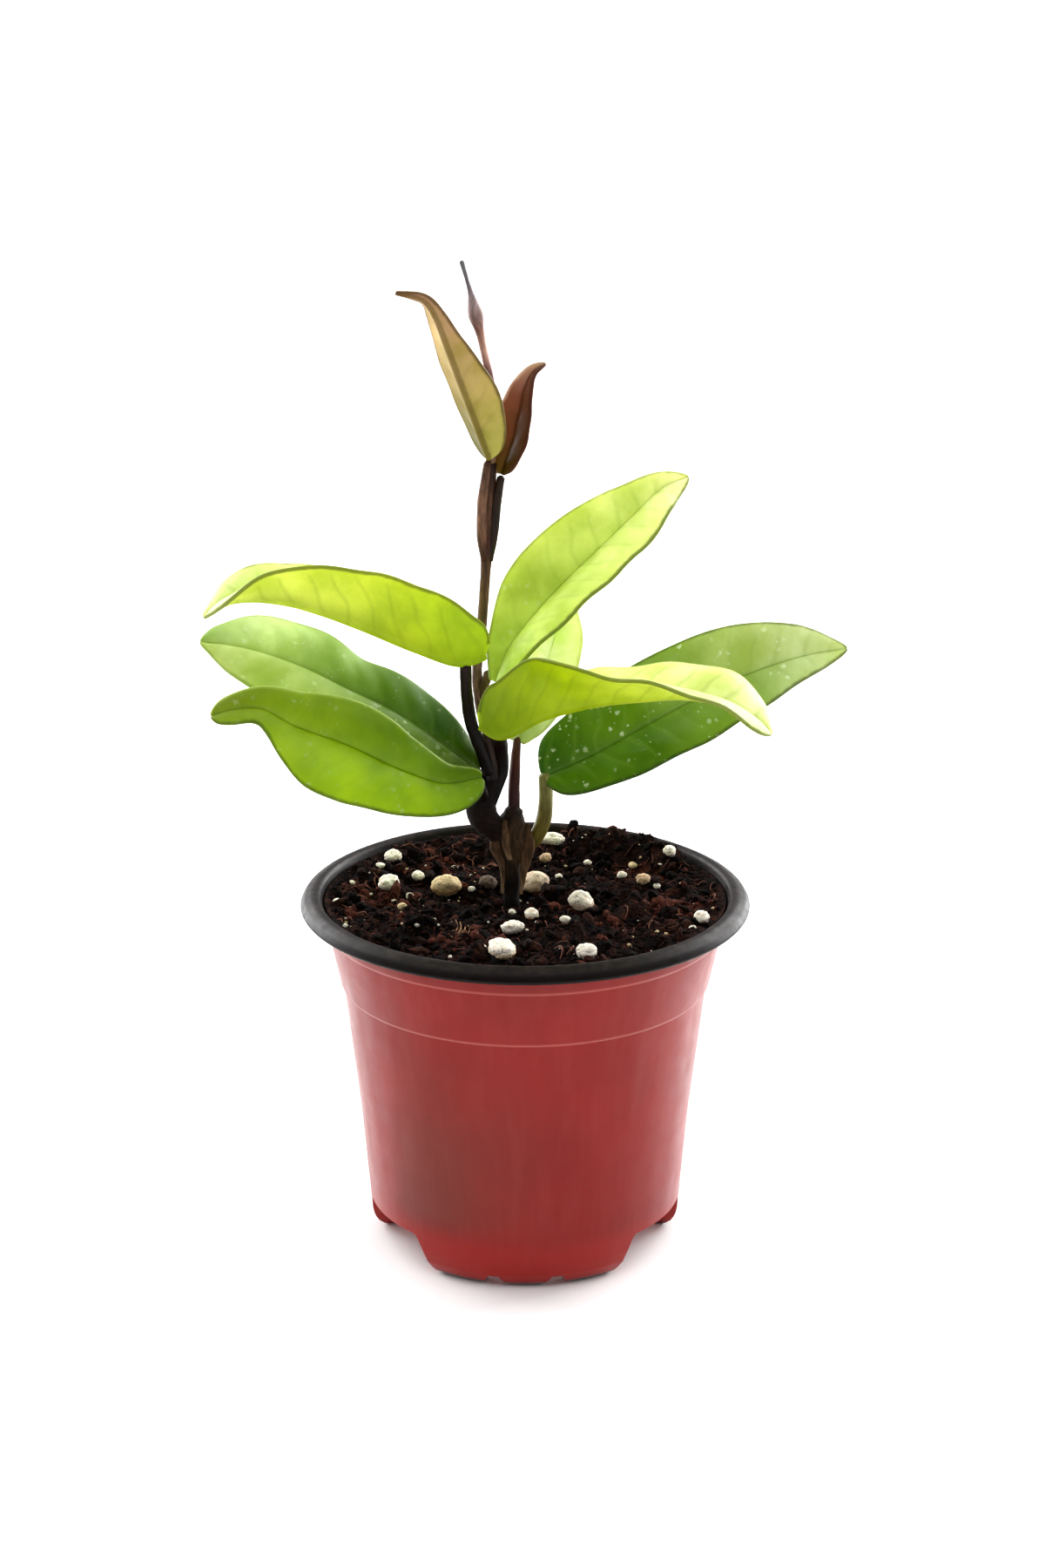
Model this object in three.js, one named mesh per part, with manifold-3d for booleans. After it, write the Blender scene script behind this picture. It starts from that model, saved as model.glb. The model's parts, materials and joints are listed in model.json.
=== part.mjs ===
// A young hoya in a thin two-tone nursery pot.
// Millimetres, +Z up. The origin is on the ground, in the middle of the pot's foot.
// +X is to the right of the front view and +Y runs to the back.
import * as THREE from 'three';
import { mergeVertices } from 'three/addons/utils/BufferGeometryUtils.js';
import Module from 'manifold-3d';

const wasm = await Module();
wasm.setup();

// ---------------------------------------------------------------- driving dimensions

const GAP = 0.3; // clearance between pieces that touch
const LEAF_GAP = 0.5; // between a stalk's end and the leaf blade it carries

const POT = {
  height: 81,
  wall: 1.2,
  lipRadius: 50, // lower edge of the turned-out lip
  mouthRadius: 46, // inner edge of the lip's top
  lipDepth: 3.4,
  upperRing: { radius: 44, z: 73.2 }, // faint raised line below the lip
  lowerRing: { radius: 40.5, z: 60.2 }, // ledge where the wall steps out
  waist: { radius: 37.1, z: 31 }, // the wall widens faster above this
  ledge: 0.6,
  cornerRadius: 34.9, // wall radius where the rounded foot corner ends
  cornerHeight: 5.6,
  footOuter: 31.6,
  footInner: 29.6,
  footHeight: 9.6, // of the floor's underside
  segments: 48,
};

const NOTCH = {
  centre: 61.8, // degrees from the front, like the other angles
  halfAngle: 24.6,
  height: 9.2,
  small: 12,
  smallHalfAngle: 3.6,
  smallHeight: 2.8,
};
const DRAIN = { radius: 4, ring: 22, sides: 16 };

const SOIL = {
  middle: 77, // mean height of the soil by the stems
  edge: 79.4, // and by the wall
  radius: 44.6, // of its upper surface
  lumps: 70,
  rings: 9,
  segments: 48,
};

const BLADE = { rows: 14, halfColumns: 3, middle: 1.5, margin: 0.8, thinnest: 0.7, ripples: 9 };
const STEM_SIDES = 8;

// ---------------------------------------------------------------- helpers

// Repeatable random numbers from 0 to 1.
function seededRandom(seed) {
  let state = seed;
  return () => {
    state = (state + 0x6d2b79f5) | 0;
    let mixed = Math.imul(state ^ (state >>> 15), 1 | state);
    mixed = (mixed + Math.imul(mixed ^ (mixed >>> 7), 61 | mixed)) ^ mixed;
    return ((mixed ^ (mixed >>> 14)) >>> 0) / 4294967296;
  };
}

function vectors(points) {
  return points.map((point) => new THREE.Vector3(...point));
}

// The value at share t of a list of evenly spaced values, on a smooth curve through them.
function along(values, t) {
  if (values.length === 1) return values[0];
  const place = t * (values.length - 1);
  const start = Math.min(Math.floor(place), values.length - 2);
  const before = values[Math.max(start - 1, 0)];
  const after = values[Math.min(start + 2, values.length - 1)];
  const [from, to] = [values[start], values[start + 1]];
  const s = place - start;
  const slopeFrom = (to - before) / 2;
  const slopeTo = (after - from) / 2;
  return (2 * s ** 3 - 3 * s ** 2 + 1) * from + (s ** 3 - 2 * s ** 2 + s) * slopeFrom
    + (3 * s ** 2 - 2 * s ** 3) * to + (s ** 3 - s ** 2) * slopeTo;
}

function merged(geometry) {
  const bare = geometry.clone();
  bare.deleteAttribute('normal');
  bare.deleteAttribute('uv');
  return mergeVertices(bare, 1e-4);
}

function toSolid(geometry) {
  const welded = merged(geometry);
  return new wasm.Manifold(new wasm.Mesh({
    numProp: 3,
    vertProperties: new Float32Array(welded.attributes.position.array),
    triVerts: new Uint32Array(welded.index.array),
  }));
}

// The largest body of a solid as a geometry, so that scraps of a cut are dropped.
function toGeometry(solid) {
  const bodies = solid.decompose();
  const largest = bodies.reduce((best, body) => (body.volume() > best.volume() ? body : best));
  const mesh = largest.getMesh();
  const geometry = new THREE.BufferGeometry();
  geometry.setAttribute('position', new THREE.BufferAttribute(mesh.vertProperties, 3));
  geometry.setIndex(new THREE.BufferAttribute(mesh.triVerts, 1));
  geometry.computeVertexNormals();
  return geometry;
}

// Moves the first and the last of a row of points outwards.
function lengthen(points, extra) {
  for (const [end, next] of [[points[0], points[1]], [points.at(-1), points.at(-2)]]) {
    end.addScaledVector(new THREE.Vector3().subVectors(end, next).normalize(), extra);
  }
}

// A round rod laid along a curve, with its own radius at each place.
function rod({ path, radii, steps = 2 * (path.length - 1) }, extra = 0, sides = STEM_SIDES) {
  const circle = new THREE.Shape();
  circle.absarc(0, 0, 1, 0, 2 * Math.PI);
  const straight = new THREE.ExtrudeGeometry(circle, {
    depth: 1, steps, curveSegments: sides / 2, bevelEnabled: false,
  });
  const points = vectors(path);
  lengthen(points, extra);
  const curve = new THREE.CatmullRomCurve3(points, false, 'centripetal');
  const frames = curve.computeFrenetFrames(steps);
  const position = straight.attributes.position;
  for (let i = 0; i < position.count; i += 1) {
    const step = Math.round(position.getZ(i) * steps);
    const radius = along(radii, curve.getUtoTmapping(step / steps)) + extra;
    const spot = curve.getPointAt(step / steps)
      .addScaledVector(frames.normals[step], radius * position.getX(i))
      .addScaledVector(frames.binormals[step], radius * position.getY(i));
    position.setXYZ(i, spot.x, spot.y, spot.z);
  }
  return toSolid(straight);
}

const pieces = new THREE.Group();

function addPiece(name, solid, colour, roughness) {
  const material = new THREE.MeshStandardMaterial({ color: colour, roughness, metalness: 0 });
  const mesh = new THREE.Mesh(toGeometry(solid), material);
  mesh.name = name;
  pieces.add(mesh);
}

// ---------------------------------------------------------------- pot

// The pot's outer line from the foot up to the lip, as [radius, z].
function potOutside() {
  const { upperRing, lowerRing, ledge } = POT;
  return [
    [POT.footInner, 0],
    [POT.footOuter, 0],
    [POT.footOuter + 1.6, 1.1],
    [POT.cornerRadius - 0.5, 3.2],
    [POT.cornerRadius, POT.cornerHeight],
    [POT.waist.radius, POT.waist.z],
    [lowerRing.radius, lowerRing.z],
    [lowerRing.radius + ledge, lowerRing.z + 0.4],
    [upperRing.radius - 0.1, upperRing.z],
    [upperRing.radius + 0.3, upperRing.z + 0.4],
    [upperRing.radius + 1.4, upperRing.z + 3.8],
  ];
}

// The turned-out lip, from its underside over the top to the mouth.
function potLip() {
  const { lipRadius, mouthRadius, height, lipDepth } = POT;
  return [
    [mouthRadius - 0.2, height - 3],
    [lipRadius - 1.5, height - lipDepth + 0.5],
    [lipRadius - 0.7, height - lipDepth],
    [lipRadius, height - lipDepth + 0.8],
    [lipRadius - 0.9, height - 1.1],
    [lipRadius - 2.6, height - 0.2],
    [mouthRadius + 0.4, height],
    [mouthRadius - 0.5, height - 0.5],
  ];
}

function potInside() {
  const { upperRing, lowerRing, wall } = POT;
  return [
    [upperRing.radius - wall + 1.3, upperRing.z + 4],
    [upperRing.radius - wall, upperRing.z],
    [lowerRing.radius - wall, lowerRing.z],
    [POT.waist.radius - wall, POT.waist.z],
    [POT.cornerRadius - wall + 0.5, POT.footHeight + 3],
    [POT.cornerRadius - 2.6, POT.footHeight + wall],
    [0, POT.footHeight + wall],
  ];
}

function turned(profile, segments) {
  const points = profile.map(([radius, z]) => new THREE.Vector2(radius, z));
  return new THREE.LatheGeometry(points, segments).rotateX(Math.PI / 2);
}

// A block that opens the foot ring. It narrows towards its top, whose corners are cut off.
function notchCutter(angle, halfAngle, height) {
  const halfWidth = Math.sin(THREE.MathUtils.degToRad(halfAngle)) * POT.cornerRadius;
  const shoulder = halfWidth - Math.min(height / 5, halfWidth / 4);
  const top = shoulder - Math.min(height / 2.5, halfWidth / 4);
  const side = new THREE.Shape();
  side.moveTo(-halfWidth, -1);
  side.lineTo(halfWidth, -1);
  side.lineTo(shoulder, height * 0.67);
  side.lineTo(top, height);
  side.lineTo(-top, height);
  side.lineTo(-shoulder, height * 0.67);
  side.closePath();
  const length = 14;
  const block = new THREE.ExtrudeGeometry(side, { depth: length, bevelEnabled: false });
  block.rotateX(Math.PI / 2);
  block.translate(0, -POT.footInner + 5, 0);
  block.rotateZ(THREE.MathUtils.degToRad(angle));
  return toSolid(block);
}

function drainCutter(angle) {
  const hole = new THREE.CylinderGeometry(DRAIN.radius, DRAIN.radius, 8, DRAIN.sides);
  hole.rotateX(Math.PI / 2);
  hole.translate(0, -DRAIN.ring, POT.footHeight);
  hole.rotateZ(THREE.MathUtils.degToRad(angle));
  return toSolid(hole);
}

function pot() {
  const profile = [[0, POT.footHeight], [POT.cornerRadius - 2.4, POT.footHeight],
    [POT.cornerRadius - 1.8, POT.cornerHeight], ...potOutside(), ...potLip(), ...potInside()];
  let body = toSolid(turned(profile, POT.segments));
  for (const side of [-1, 1]) {
    for (const angle of [NOTCH.centre, 180 - NOTCH.centre]) {
      body = body.subtract(notchCutter(side * angle, NOTCH.halfAngle, NOTCH.height));
      body = body.subtract(drainCutter(side * angle));
    }
    for (const angle of [NOTCH.small, 180 - NOTCH.small]) {
      body = body.subtract(notchCutter(side * angle, NOTCH.smallHalfAngle, NOTCH.smallHeight));
    }
  }
  addPiece('pot', body, 0xa83c38, 0.45);
}

// ---------------------------------------------------------------- stems

const OLD_STEM = {
  path: [[-3, 3.6, 64.6], [-3, 3.6, 75.6], [-3, 3.8, 85.1], [-3, 4.2, 93.4], [-2.6, 4.6, 98.2]],
  radii: [1.8, 1.8, 1.9, 3.4, 2],
};

const KNEE = {
  path: [[-3.2, 4.2, 90.4], [-6.4, 3.6, 93.6], [-9.6, 3, 98], [-9.2, 3.2, 101.8], [-7.2, 3.8, 105.6]],
  radii: [2.2, 2.7, 3.4, 2.9, 1.9],
};

// Papery strips of old bark at both sides of the old stem.
const BARK = [
  {
    path: [[-5, 3, 79.1], [-5, 2.9, 84.6], [-6.6, 2.2, 90.6], [-6.4, 1.6, 95.6]],
    radii: [0.4, 0.8, 1.3, 0.7],
  },
  {
    path: [[-1, 2.6, 79.1], [-0.4, 2.6, 84.6], [0.6, 3, 90.1], [0.4, 3.6, 95.1]],
    radii: [0.4, 0.9, 1.6, 0.7],
  },
  {
    path: [[-3.4, 1.6, 87.6], [-4.4, 0.9, 92.1], [-4.6, 1.4, 96.6]],
    radii: [0.6, 1, 0.5],
  },
];

const MAIN_STEM = {
  path: [[-7.2, 3.2, 105.6], [-7.9, 3, 114.6], [-9.9, 3, 123.6], [-10.5, 3, 131.6], [-9.4, 3, 141.6],
    [-8.7, 3, 151.6], [-8.1, 3, 160.6], [-7.8, 3, 168.6], [-7.4, 3.2, 176.6]],
  radii: [1.5, 1.3, 1.25, 1.15, 1.1, 1.1, 1.4, 1.5, 1.3],
};

// The stalks of the young pair run beside the main stem before they part from it.
const YOUNG_STALKS = [
  {
    path: [[-8.9, 2.4, 155.6], [-9.3, 2.2, 161.6], [-9.2, 1.6, 168.6], [-8, 0.8, 177.4]],
    radii: [0.8, 1.2, 1.1, 0.9],
  },
  {
    path: [[-7.7, 2.8, 155.6], [-6.7, 2.6, 162.6], [-6.2, 2.4, 168.6], [-5.2, 2.4, 173.8]],
    radii: [0.8, 1.1, 1.1, 0.9],
  },
];

const SHOOT_TIP = {
  path: [[-7.4, 3, 177.2], [-6.9, 2.4, 185.6], [-7.2, 2.2, 193.6], [-8.4, 2.2, 199.6], [-9.7, 2.2, 205.5],
    [-10.4, 2.2, 208.7], [-11, 2.2, 211.1], [-11.5, 2.2, 213.5], [-12.5, 2.2, 217.1],
    [-13.4, 2.2, 220]],
  radii: [1.1, 0.95, 0.85, 0.8, 0.95, 1.65, 1.2, 0.6, 0.4, 0.5],
  steps: 22,
};

const STALKS = {
  stalk_upper_left: {
    path: [[-8, 2.6, 107.6], [-9.6, 1.2, 113], [-11.8, -1, 120], [-12.7, -4.6, 128.6],
      [-12.9, -6.7, 134.6]],
    radii: [1.4, 1.4, 1.4, 1.3, 1.3],
  },
  stalk_upright: {
    path: [[-9.9, 3, 123.6], [-9, 2, 127.1], [-8, 1.4, 130.6]],
    radii: [0.9, 0.9, 1.1],
  },
  stalk_lower_right: {
    path: [[-7.8, 3.6, 99.6], [-6.4, 4, 103.4], [-5.2, 4.2, 107.6], [-5.3, 2, 113.6],
      [-5.6, -6, 120.2]],
    radii: [1.3, 1.4, 1.5, 1.5, 1.3],
  },
  stalk_back: {
    path: [[-2.5, 4.6, 95.2], [-2.5, 5, 100.6], [-2.3, 6, 106.6], [-1.8, 8, 113.6]],
    radii: [1.3, 1.3, 1.2, 0.9],
  },
  stalk_large_right: {
    path: [[-0.8, 4.6, 89.2], [2, 5, 91.2], [4, 5.6, 95.2], [4.6, 6, 101.2], [4.4, 6.2, 105.6]],
    radii: [1.7, 1.7, 1.7, 1.6, 1.5],
  },
  stalk_middle_left: {
    path: [[-8.6, 4, 102.6], [-9.6, 3.6, 105.6], [-11.4, 2.6, 108.6]],
    radii: [1.2, 1.1, 1.1],
  },
  stalk_lower_left: {
    path: [[-9, 2.4, 101.2], [-9.4, -1.6, 104.4], [-10.4, -5, 108.2]],
    radii: [1.2, 1.1, 1.1],
  },
};

const DARK_STEM = 0x2a1512;
const STALK_COLOURS = { stalk_large_right: 0x6b6420, stalk_back: 0x3a1a16 };

function oldStem(extra = 0) {
  return [OLD_STEM, KNEE, ...BARK].map((part) => rod(part, extra))
    .reduce((whole, part) => whole.add(part));
}

function mainStem(extra = 0) {
  return [MAIN_STEM, ...YOUNG_STALKS].map((part) => rod(part, extra))
    .reduce((whole, part) => whole.add(part)).subtract(oldStem(extra ? extra : GAP));
}

// ---------------------------------------------------------------- leaves

// A leaf is described at its real size. midrib runs from the stalk to the tip. face is the way
// the upper surface looks. left and right are the half widths at even turns of the half circle
// that spreads the rows, which sets them closer at both ends. The rises are in degrees, how
// far each half lifts from the flat towards face, evenly spaced from base to tip. steady is the
// share by which the rows stay square to the whole leaf instead of to the midrib's bends.
const LEAVES = {
  leaf_upper_left: {
    midrib: [[-8.4, -6, 136.4], [-14, -7, 135.2], [-24, -9, 139.2], [-33.5, -10.5, 143.8],
      [-42.5, -12, 147.8], [-50.5, -13.5, 150.6], [-58.5, -14.5, 151.6], [-64, -15, 150.6],
      [-68, -15, 147.6]],
    face: [0, 0, 1],
    steady: 0.9,
    left: [3.5, 9, 13, 13.5, 13, 11, 7, 2.5, 0.4],
    right: [2, 7, 11.5, 13, 12, 10, 7.5, 3.5, 0.4],
    leftRise: [85, 90, 80, 64, 50, -10],
    rightRise: [15, 30, 38, 42, 45, 45],
    bulge: 1,
    wave: 0.4,
    colour: 0xb4d246,
  },
  leaf_middle_left: {
    midrib: [[-10.6, 2, 108], [-19.7, 1, 115.4], [-29, 1, 121.8], [-38.5, 0, 127],
      [-48, 0, 131.9], [-59, 0, 135.9], [-70.4, 0, 138]],
    face: [0, -0.7, 0.7],
    left: [2, 7, 14, 16.6, 14.2, 11.5, 9, 3, 0.4],
    right: [2, 4.5, 7, 9.3, 9.2, 10.8, 9, 5, 0.4],
    leftRise: [10, 10, 10],
    rightRise: [0, -5, -5, -8],
    bulge: 1,
    wave: 0.5,
    colour: 0x6fae3c,
  },
  leaf_lower_left: {
    midrib: [[-9.5, -5, 108.6], [-17.6, -8, 108.2], [-27, -12, 112.6], [-38, -15, 119],
      [-49, -17, 123.9], [-56, -18, 128.1], [-61.5, -19, 128.4], [-66.6, -19, 127]],
    face: [0, -0.8, 0.6],
    left: [1.6, 3.8, 5.9, 8, 9.6, 11.6, 13, 12.8, 5.9, 3.9, 3.4, 2.3, 0.6],
    right: [1.6, 3.2, 5.2, 8, 10, 8.4, 4.8, 2.8, 0.5],
    leftRise: [10, 10, 10],
    rightRise: [10, 10, 10],
    bulge: 1,
    wave: 0.4,
    colour: 0x78aa14,
  },
  leaf_upright: {
    midrib: [[-6.3, -1.5, 129.4], [-3, 2.2, 136.1], [3, 7, 142.8], [10, 12, 149.1], [16.6, 16, 154.6],
      [24.3, 20, 161.3], [30.5, 23, 166.5], [36, 24, 169]],
    face: [-0.4, -0.8, 0.4],
    left: [1.6, 3, 6.3, 11, 12, 10, 6, 2.5, 0.4],
    right: [2, 5, 9, 11, 11.5, 11, 8, 3.5, 0.4],
    leftRise: [15, 15, 15],
    rightRise: [30, 30, 25],
    bulge: 0.8,
    wave: 0.3,
    colour: 0xa8d040,
  },
  leaf_back: {
    midrib: [[-1.8, 8, 113], [1, 11, 119.6], [4.2, 14, 127.6], [7, 17, 136.6], [9, 19, 146.1]],
    face: [0, -1, 0.2],
    left: [1.8, 3.5, 6.5, 8, 8, 7, 4, 2, 0.4],
    right: [1.8, 3, 5.5, 7, 7.2, 6.5, 4, 2, 0.4],
    leftRise: [10, 10, 10],
    rightRise: [10, 10, 10],
    bulge: 0.6,
    wave: 0.3,
    colour: 0xc0e48c,
  },
  leaf_lower_right: {
    midrib: [[-10, -10, 121.6], [-5.5, -10.5, 119.6], [4, -13, 125], [14, -16, 128.8],
      [24.4, -19, 131], [34.4, -21, 132], [43.5, -22, 130.2], [49, -22, 126.6], [52, -22, 123.8]],
    face: [0, 0, 1],
    steady: 0.9,
    left: [2, 7, 11.5, 12.5, 12.5, 12, 10, 6, 0.4],
    right: [4, 11, 14, 13.5, 12.5, 11, 8, 4, 0.4],
    leftRise: [25, 22, 20, 18, 22, 30],
    rightRise: [95, 88, 48, 30, 12, -5],
    bulge: 1,
    wave: 0.4,
    colour: 0xb2cc30,
  },
  leaf_large_right: {
    midrib: [[4.2, 6.2, 105.2], [15, 8, 109.6], [26.4, 10, 115.6], [38, 12, 121.4], [49.5, 13, 126.8],
      [61, 13, 130.8], [71, 12, 133.1]],
    face: [0, -0.8, 0.6],
    left: [2, 8, 11, 13, 13.5, 12, 8, 3, 0.4],
    right: [2, 6, 8.5, 10, 10.5, 9, 6, 2.5, 0.4],
    leftRise: [10, 10, 10],
    rightRise: [10, 10, 10],
    bulge: 1,
    wave: 0.4,
    colour: 0x4f8f1e,
  },
  young_leaf_left: {
    midrib: [[-7.6, 0.5, 178.3], [-10.4, -1, 186.6], [-13.6, -3, 195.8], [-16, -4.5, 202.8],
      [-18.4, -6, 209.6], [-21, -7.5, 213.6], [-26.8, -9, 215.4]],
    face: [0.4, 0.9, 0.2],
    left: [1.4, 4, 6, 6.8, 5, 2.6, 1.4, 0.7, 0.35],
    right: [1.4, 3.2, 4.8, 5.4, 5.6, 4.4, 2.2, 0.9, 0.35],
    leftRise: [35, 35, 30],
    rightRise: [30, 30, 30],
    bulge: 0.3,
    wave: 0.1,
    colour: 0xb09c58,
  },
  young_leaf_right: {
    midrib: [[-5, 3, 174.4], [-2.6, 5.6, 180.5], [-1, 7.8, 187.4], [0, 8.6, 192], [1.7, 9.4, 195.3],
      [4.3, 10, 197]],
    face: [-0.2, -0.9, 0.3],
    left: [1.2, 2.6, 3.8, 4.6, 4.8, 3.6, 2, 1, 0.35],
    right: [1.2, 3, 4.2, 4.8, 4.2, 3, 1.6, 0.8, 0.35],
    leftRise: [10, 10, 20],
    rightRise: [40, 40, 30],
    bulge: 0.3,
    wave: 0.1,
    colour: 0x5a2410,
  },
};

// The straight way from a leaf's base to its tip.
function chord({ midrib }) {
  const [base, tip] = vectors([midrib[0], midrib.at(-1)]);
  return tip.sub(base).normalize();
}

// The place on a leaf's middle sheet at share t from base to tip, and q from -1 (left margin)
// over the midrib to 1 (right margin). turn is t's place on the half circle, from 0 to 1.
function bladePoint(leaf, curve, turn, q, extra = 0) {
  const t = (1 - Math.cos(Math.PI * turn)) / 2;
  const tangent = curve.getTangentAt(t).lerp(chord(leaf), leaf.steady ?? 0).normalize();
  const up = new THREE.Vector3(...leaf.face);
  up.addScaledVector(tangent, -up.dot(tangent)).normalize();
  const side = new THREE.Vector3().crossVectors(tangent, up);
  const hand = q < 0 ? -1 : 1;
  const share = Math.abs(q);
  const width = along(hand < 0 ? leaf.left : leaf.right, turn) + extra;
  const rise = THREE.MathUtils.degToRad(along(hand < 0 ? leaf.leftRise : leaf.rightRise, t));
  const [level, steep] = [hand * Math.cos(rise), Math.sin(rise)];
  const out = side.clone().multiplyScalar(level).addScaledVector(up, steep);
  const over = side.clone().multiplyScalar(-hand * steep).addScaledVector(up, hand * level);
  const widest = Math.max(...leaf.left, ...leaf.right);
  const pillow = leaf.bulge * 4 * share * (1 - share) * (width / widest);
  const ripple = leaf.wave * Math.min(1, width / 4) * share ** 2
    * Math.sin(Math.PI * (BLADE.ripples * t + hand));
  return curve.getPointAt(t)
    .addScaledVector(out, width * share)
    .addScaledVector(over, pillow + ripple);
}

function bladeNormal(leaf, curve, turn, q) {
  const small = 0.02;
  const [back, front] = [Math.max(turn - small, 0), Math.min(turn + small, 1)];
  const [left, right] = [Math.max(q - 0.2, -1), Math.min(q + 0.2, 1)];
  const lengthwise = bladePoint(leaf, curve, front, q).sub(bladePoint(leaf, curve, back, q));
  const crosswise = bladePoint(leaf, curve, turn, right).sub(bladePoint(leaf, curve, turn, left));
  return crosswise.cross(lengthwise).normalize();
}

// A leaf blade as a closed solid: an upper and a lower skin split into triangles alike.
function blade(leaf, extra = 0) {
  const { rows, halfColumns, middle, margin, thinnest } = BLADE;
  const columns = 2 * halfColumns;
  const midrib = vectors(leaf.midrib);
  lengthen(midrib, extra);
  const curve = new THREE.CatmullRomCurve3(midrib, false, 'centripetal');
  const places = [];
  for (const skin of [1, -1]) {
    for (let row = 0; row <= rows; row += 1) {
      for (let column = 0; column <= columns; column += 1) {
        const [turn, q] = [row / rows, column / halfColumns - 1];
        const width = along(q < 0 ? leaf.left : leaf.right, turn);
        const full = THREE.MathUtils.lerp(middle, margin, q * q) * Math.min(1, 0.45 + width / 8);
        const thickness = Math.max(full, thinnest) + 2 * extra;
        const normal = bladeNormal(leaf, curve, turn, q);
        const spot = bladePoint(leaf, curve, turn, q, extra)
          .addScaledVector(normal, (skin * thickness) / 2);
        places.push(spot.x, spot.y, spot.z);
      }
    }
  }
  const skinSize = (rows + 1) * (columns + 1);
  const top = (row, column) => row * (columns + 1) + column;
  const bottom = (row, column) => skinSize + top(row, column);
  const faces = [];
  const quad = (a, b, c, d) => faces.push(a, b, c, a, c, d);
  for (let row = 0; row < rows; row += 1) {
    for (let column = 0; column < columns; column += 1) {
      quad(top(row, column), top(row, column + 1), top(row + 1, column + 1), top(row + 1, column));
      faces.push(bottom(row, column), bottom(row + 1, column + 1), bottom(row, column + 1));
      faces.push(bottom(row, column), bottom(row + 1, column), bottom(row + 1, column + 1));
    }
    quad(top(row, 0), top(row + 1, 0), bottom(row + 1, 0), bottom(row, 0));
    quad(top(row + 1, columns), top(row, columns), bottom(row, columns), bottom(row + 1, columns));
  }
  for (let column = 0; column < columns; column += 1) {
    quad(top(0, column + 1), top(0, column), bottom(0, column), bottom(0, column + 1));
    quad(top(rows, column), top(rows, column + 1), bottom(rows, column + 1), bottom(rows, column));
  }
  const geometry = new THREE.BufferGeometry();
  geometry.setAttribute('position', new THREE.Float32BufferAttribute(places, 3));
  geometry.setIndex(faces);
  return toSolid(geometry);
}

// ---------------------------------------------------------------- soil and perlite

// Larger granules by place, as [x, y, radius, how high the middle lies above the soil]. A fifth
// number says how many times longer the granule is from left to right.
const GRANULES = [
  [-18, 7.2, 3.5, 1.4], [2.3, 11.7, 3.3, 1.2], [6.4, 35.3, 2.1, 0.9, 1.55], [12.5, -2.8, 2.9, 1.4],
  [-5, -36.5, 3.1, 1.2], [-30.1, 22.7, 2.1, 0.8], [-30.7, 7.9, 2.4, 0.9], [-2.7, -14.9, 2.3, 0.8],
  [12.9, -34.9, 2.3, 0.8], [33, 21.5, 1.6, 0.8], [-8.2, 9.8, 2.2, 0.4], [38.4, -13.6, 1.9, 0.6],
  [4.8, 28.3, 1.4, 0.5], [26.5, 11.1, 1.6, 0.5], [1.5, -6.8, 1.7, 0.6], [-24.3, 16.4, 1.5, 0.5],
];

// Heaps of soil by the back wall, as [x, y, height, spread].
const HEAPS = [
  [10, 40, 3, 8], [21, 36, 4.8, 6], [29, 31, 5.2, 5], [34, 25, 5, 4.5], [40, 17, 1.2, 4],
  [-12, 38, 2.4, 8], [-26, 31, 1.2, 7],
];

function soilLumps() {
  const random = seededRandom(11);
  const lumps = [];
  for (let i = 0; i < SOIL.lumps; i += 1) {
    const angle = 2 * Math.PI * random();
    const distance = 41 * Math.sqrt(random());
    const [x, y] = [distance * Math.cos(angle), distance * Math.sin(angle)];
    lumps.push({ x, y, height: 2.6 * random() - 1, spread: 3 + 4 * random() });
  }
  for (const [x, y, height, spread] of HEAPS) lumps.push({ x, y, height, spread });
  return lumps;
}

const lumps = soilLumps();

function soilHeight(x, y) {
  const raised = lumps.reduce((sum, lump) => sum + lump.height
    * Math.exp(-((x - lump.x) ** 2 + (y - lump.y) ** 2) / lump.spread ** 2), 0);
  const share = Math.min(Math.hypot(x, y) / SOIL.radius, 1);
  const lumpy = THREE.MathUtils.clamp(raised, -2, 6) * (1 - share ** 24);
  return THREE.MathUtils.lerp(SOIL.middle, SOIL.edge, share ** 2) + lumpy;
}

// A rough granule: a ball of few faces with seeded dents, stretched along a random way unless
// its length from left to right is given.
function granule([x, y, radius, lift, length], index, extra = 0) {
  const random = seededRandom(100 + index);
  const ball = merged(new THREE.IcosahedronGeometry(1, 1));
  const stretch = new THREE.Vector3(length ?? 1 + 0.25 * random(), 1, 0.8);
  const position = ball.attributes.position;
  for (let i = 0; i < position.count; i += 1) {
    const size = radius * (0.88 + 0.2 * random()) + extra;
    const spot = new THREE.Vector3().fromBufferAttribute(position, i);
    spot.multiply(stretch).multiplyScalar(size);
    position.setXYZ(i, spot.x, spot.y, spot.z);
  }
  if (!length) ball.rotateZ(2 * Math.PI * random());
  ball.translate(x, y, soilHeight(x, y) + lift);
  return toSolid(ball);
}

// The soil fills the pot to the flare under its lip. Its rings lie closest by the wall.
function soil() {
  const wall = potInside().slice(0, -1).reverse();
  const profile = [[0, POT.footHeight + POT.wall + GAP]];
  wall.forEach(([radius, z], index) => profile.push([radius - GAP, index ? z : z + GAP]));
  for (let ring = 0; ring <= SOIL.rings; ring += 1) {
    profile.push([SOIL.radius * (1 - (ring / SOIL.rings) ** 1.3), SOIL.edge]);
  }
  const body = merged(turned(profile, SOIL.segments));
  const position = body.attributes.position;
  for (let i = 0; i < position.count; i += 1) {
    if (position.getZ(i) > SOIL.edge - 0.01) {
      position.setZ(i, soilHeight(position.getX(i), position.getY(i)));
    }
  }
  return toSolid(body);
}

// ---------------------------------------------------------------- assembly

pot();

const YOUNG_PAIR = [LEAVES.young_leaf_left, LEAVES.young_leaf_right];
const stump = oldStem();
const tall = YOUNG_PAIR.reduce((stem, leaf) => stem.subtract(blade(leaf, LEAF_GAP)), mainStem());

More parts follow.
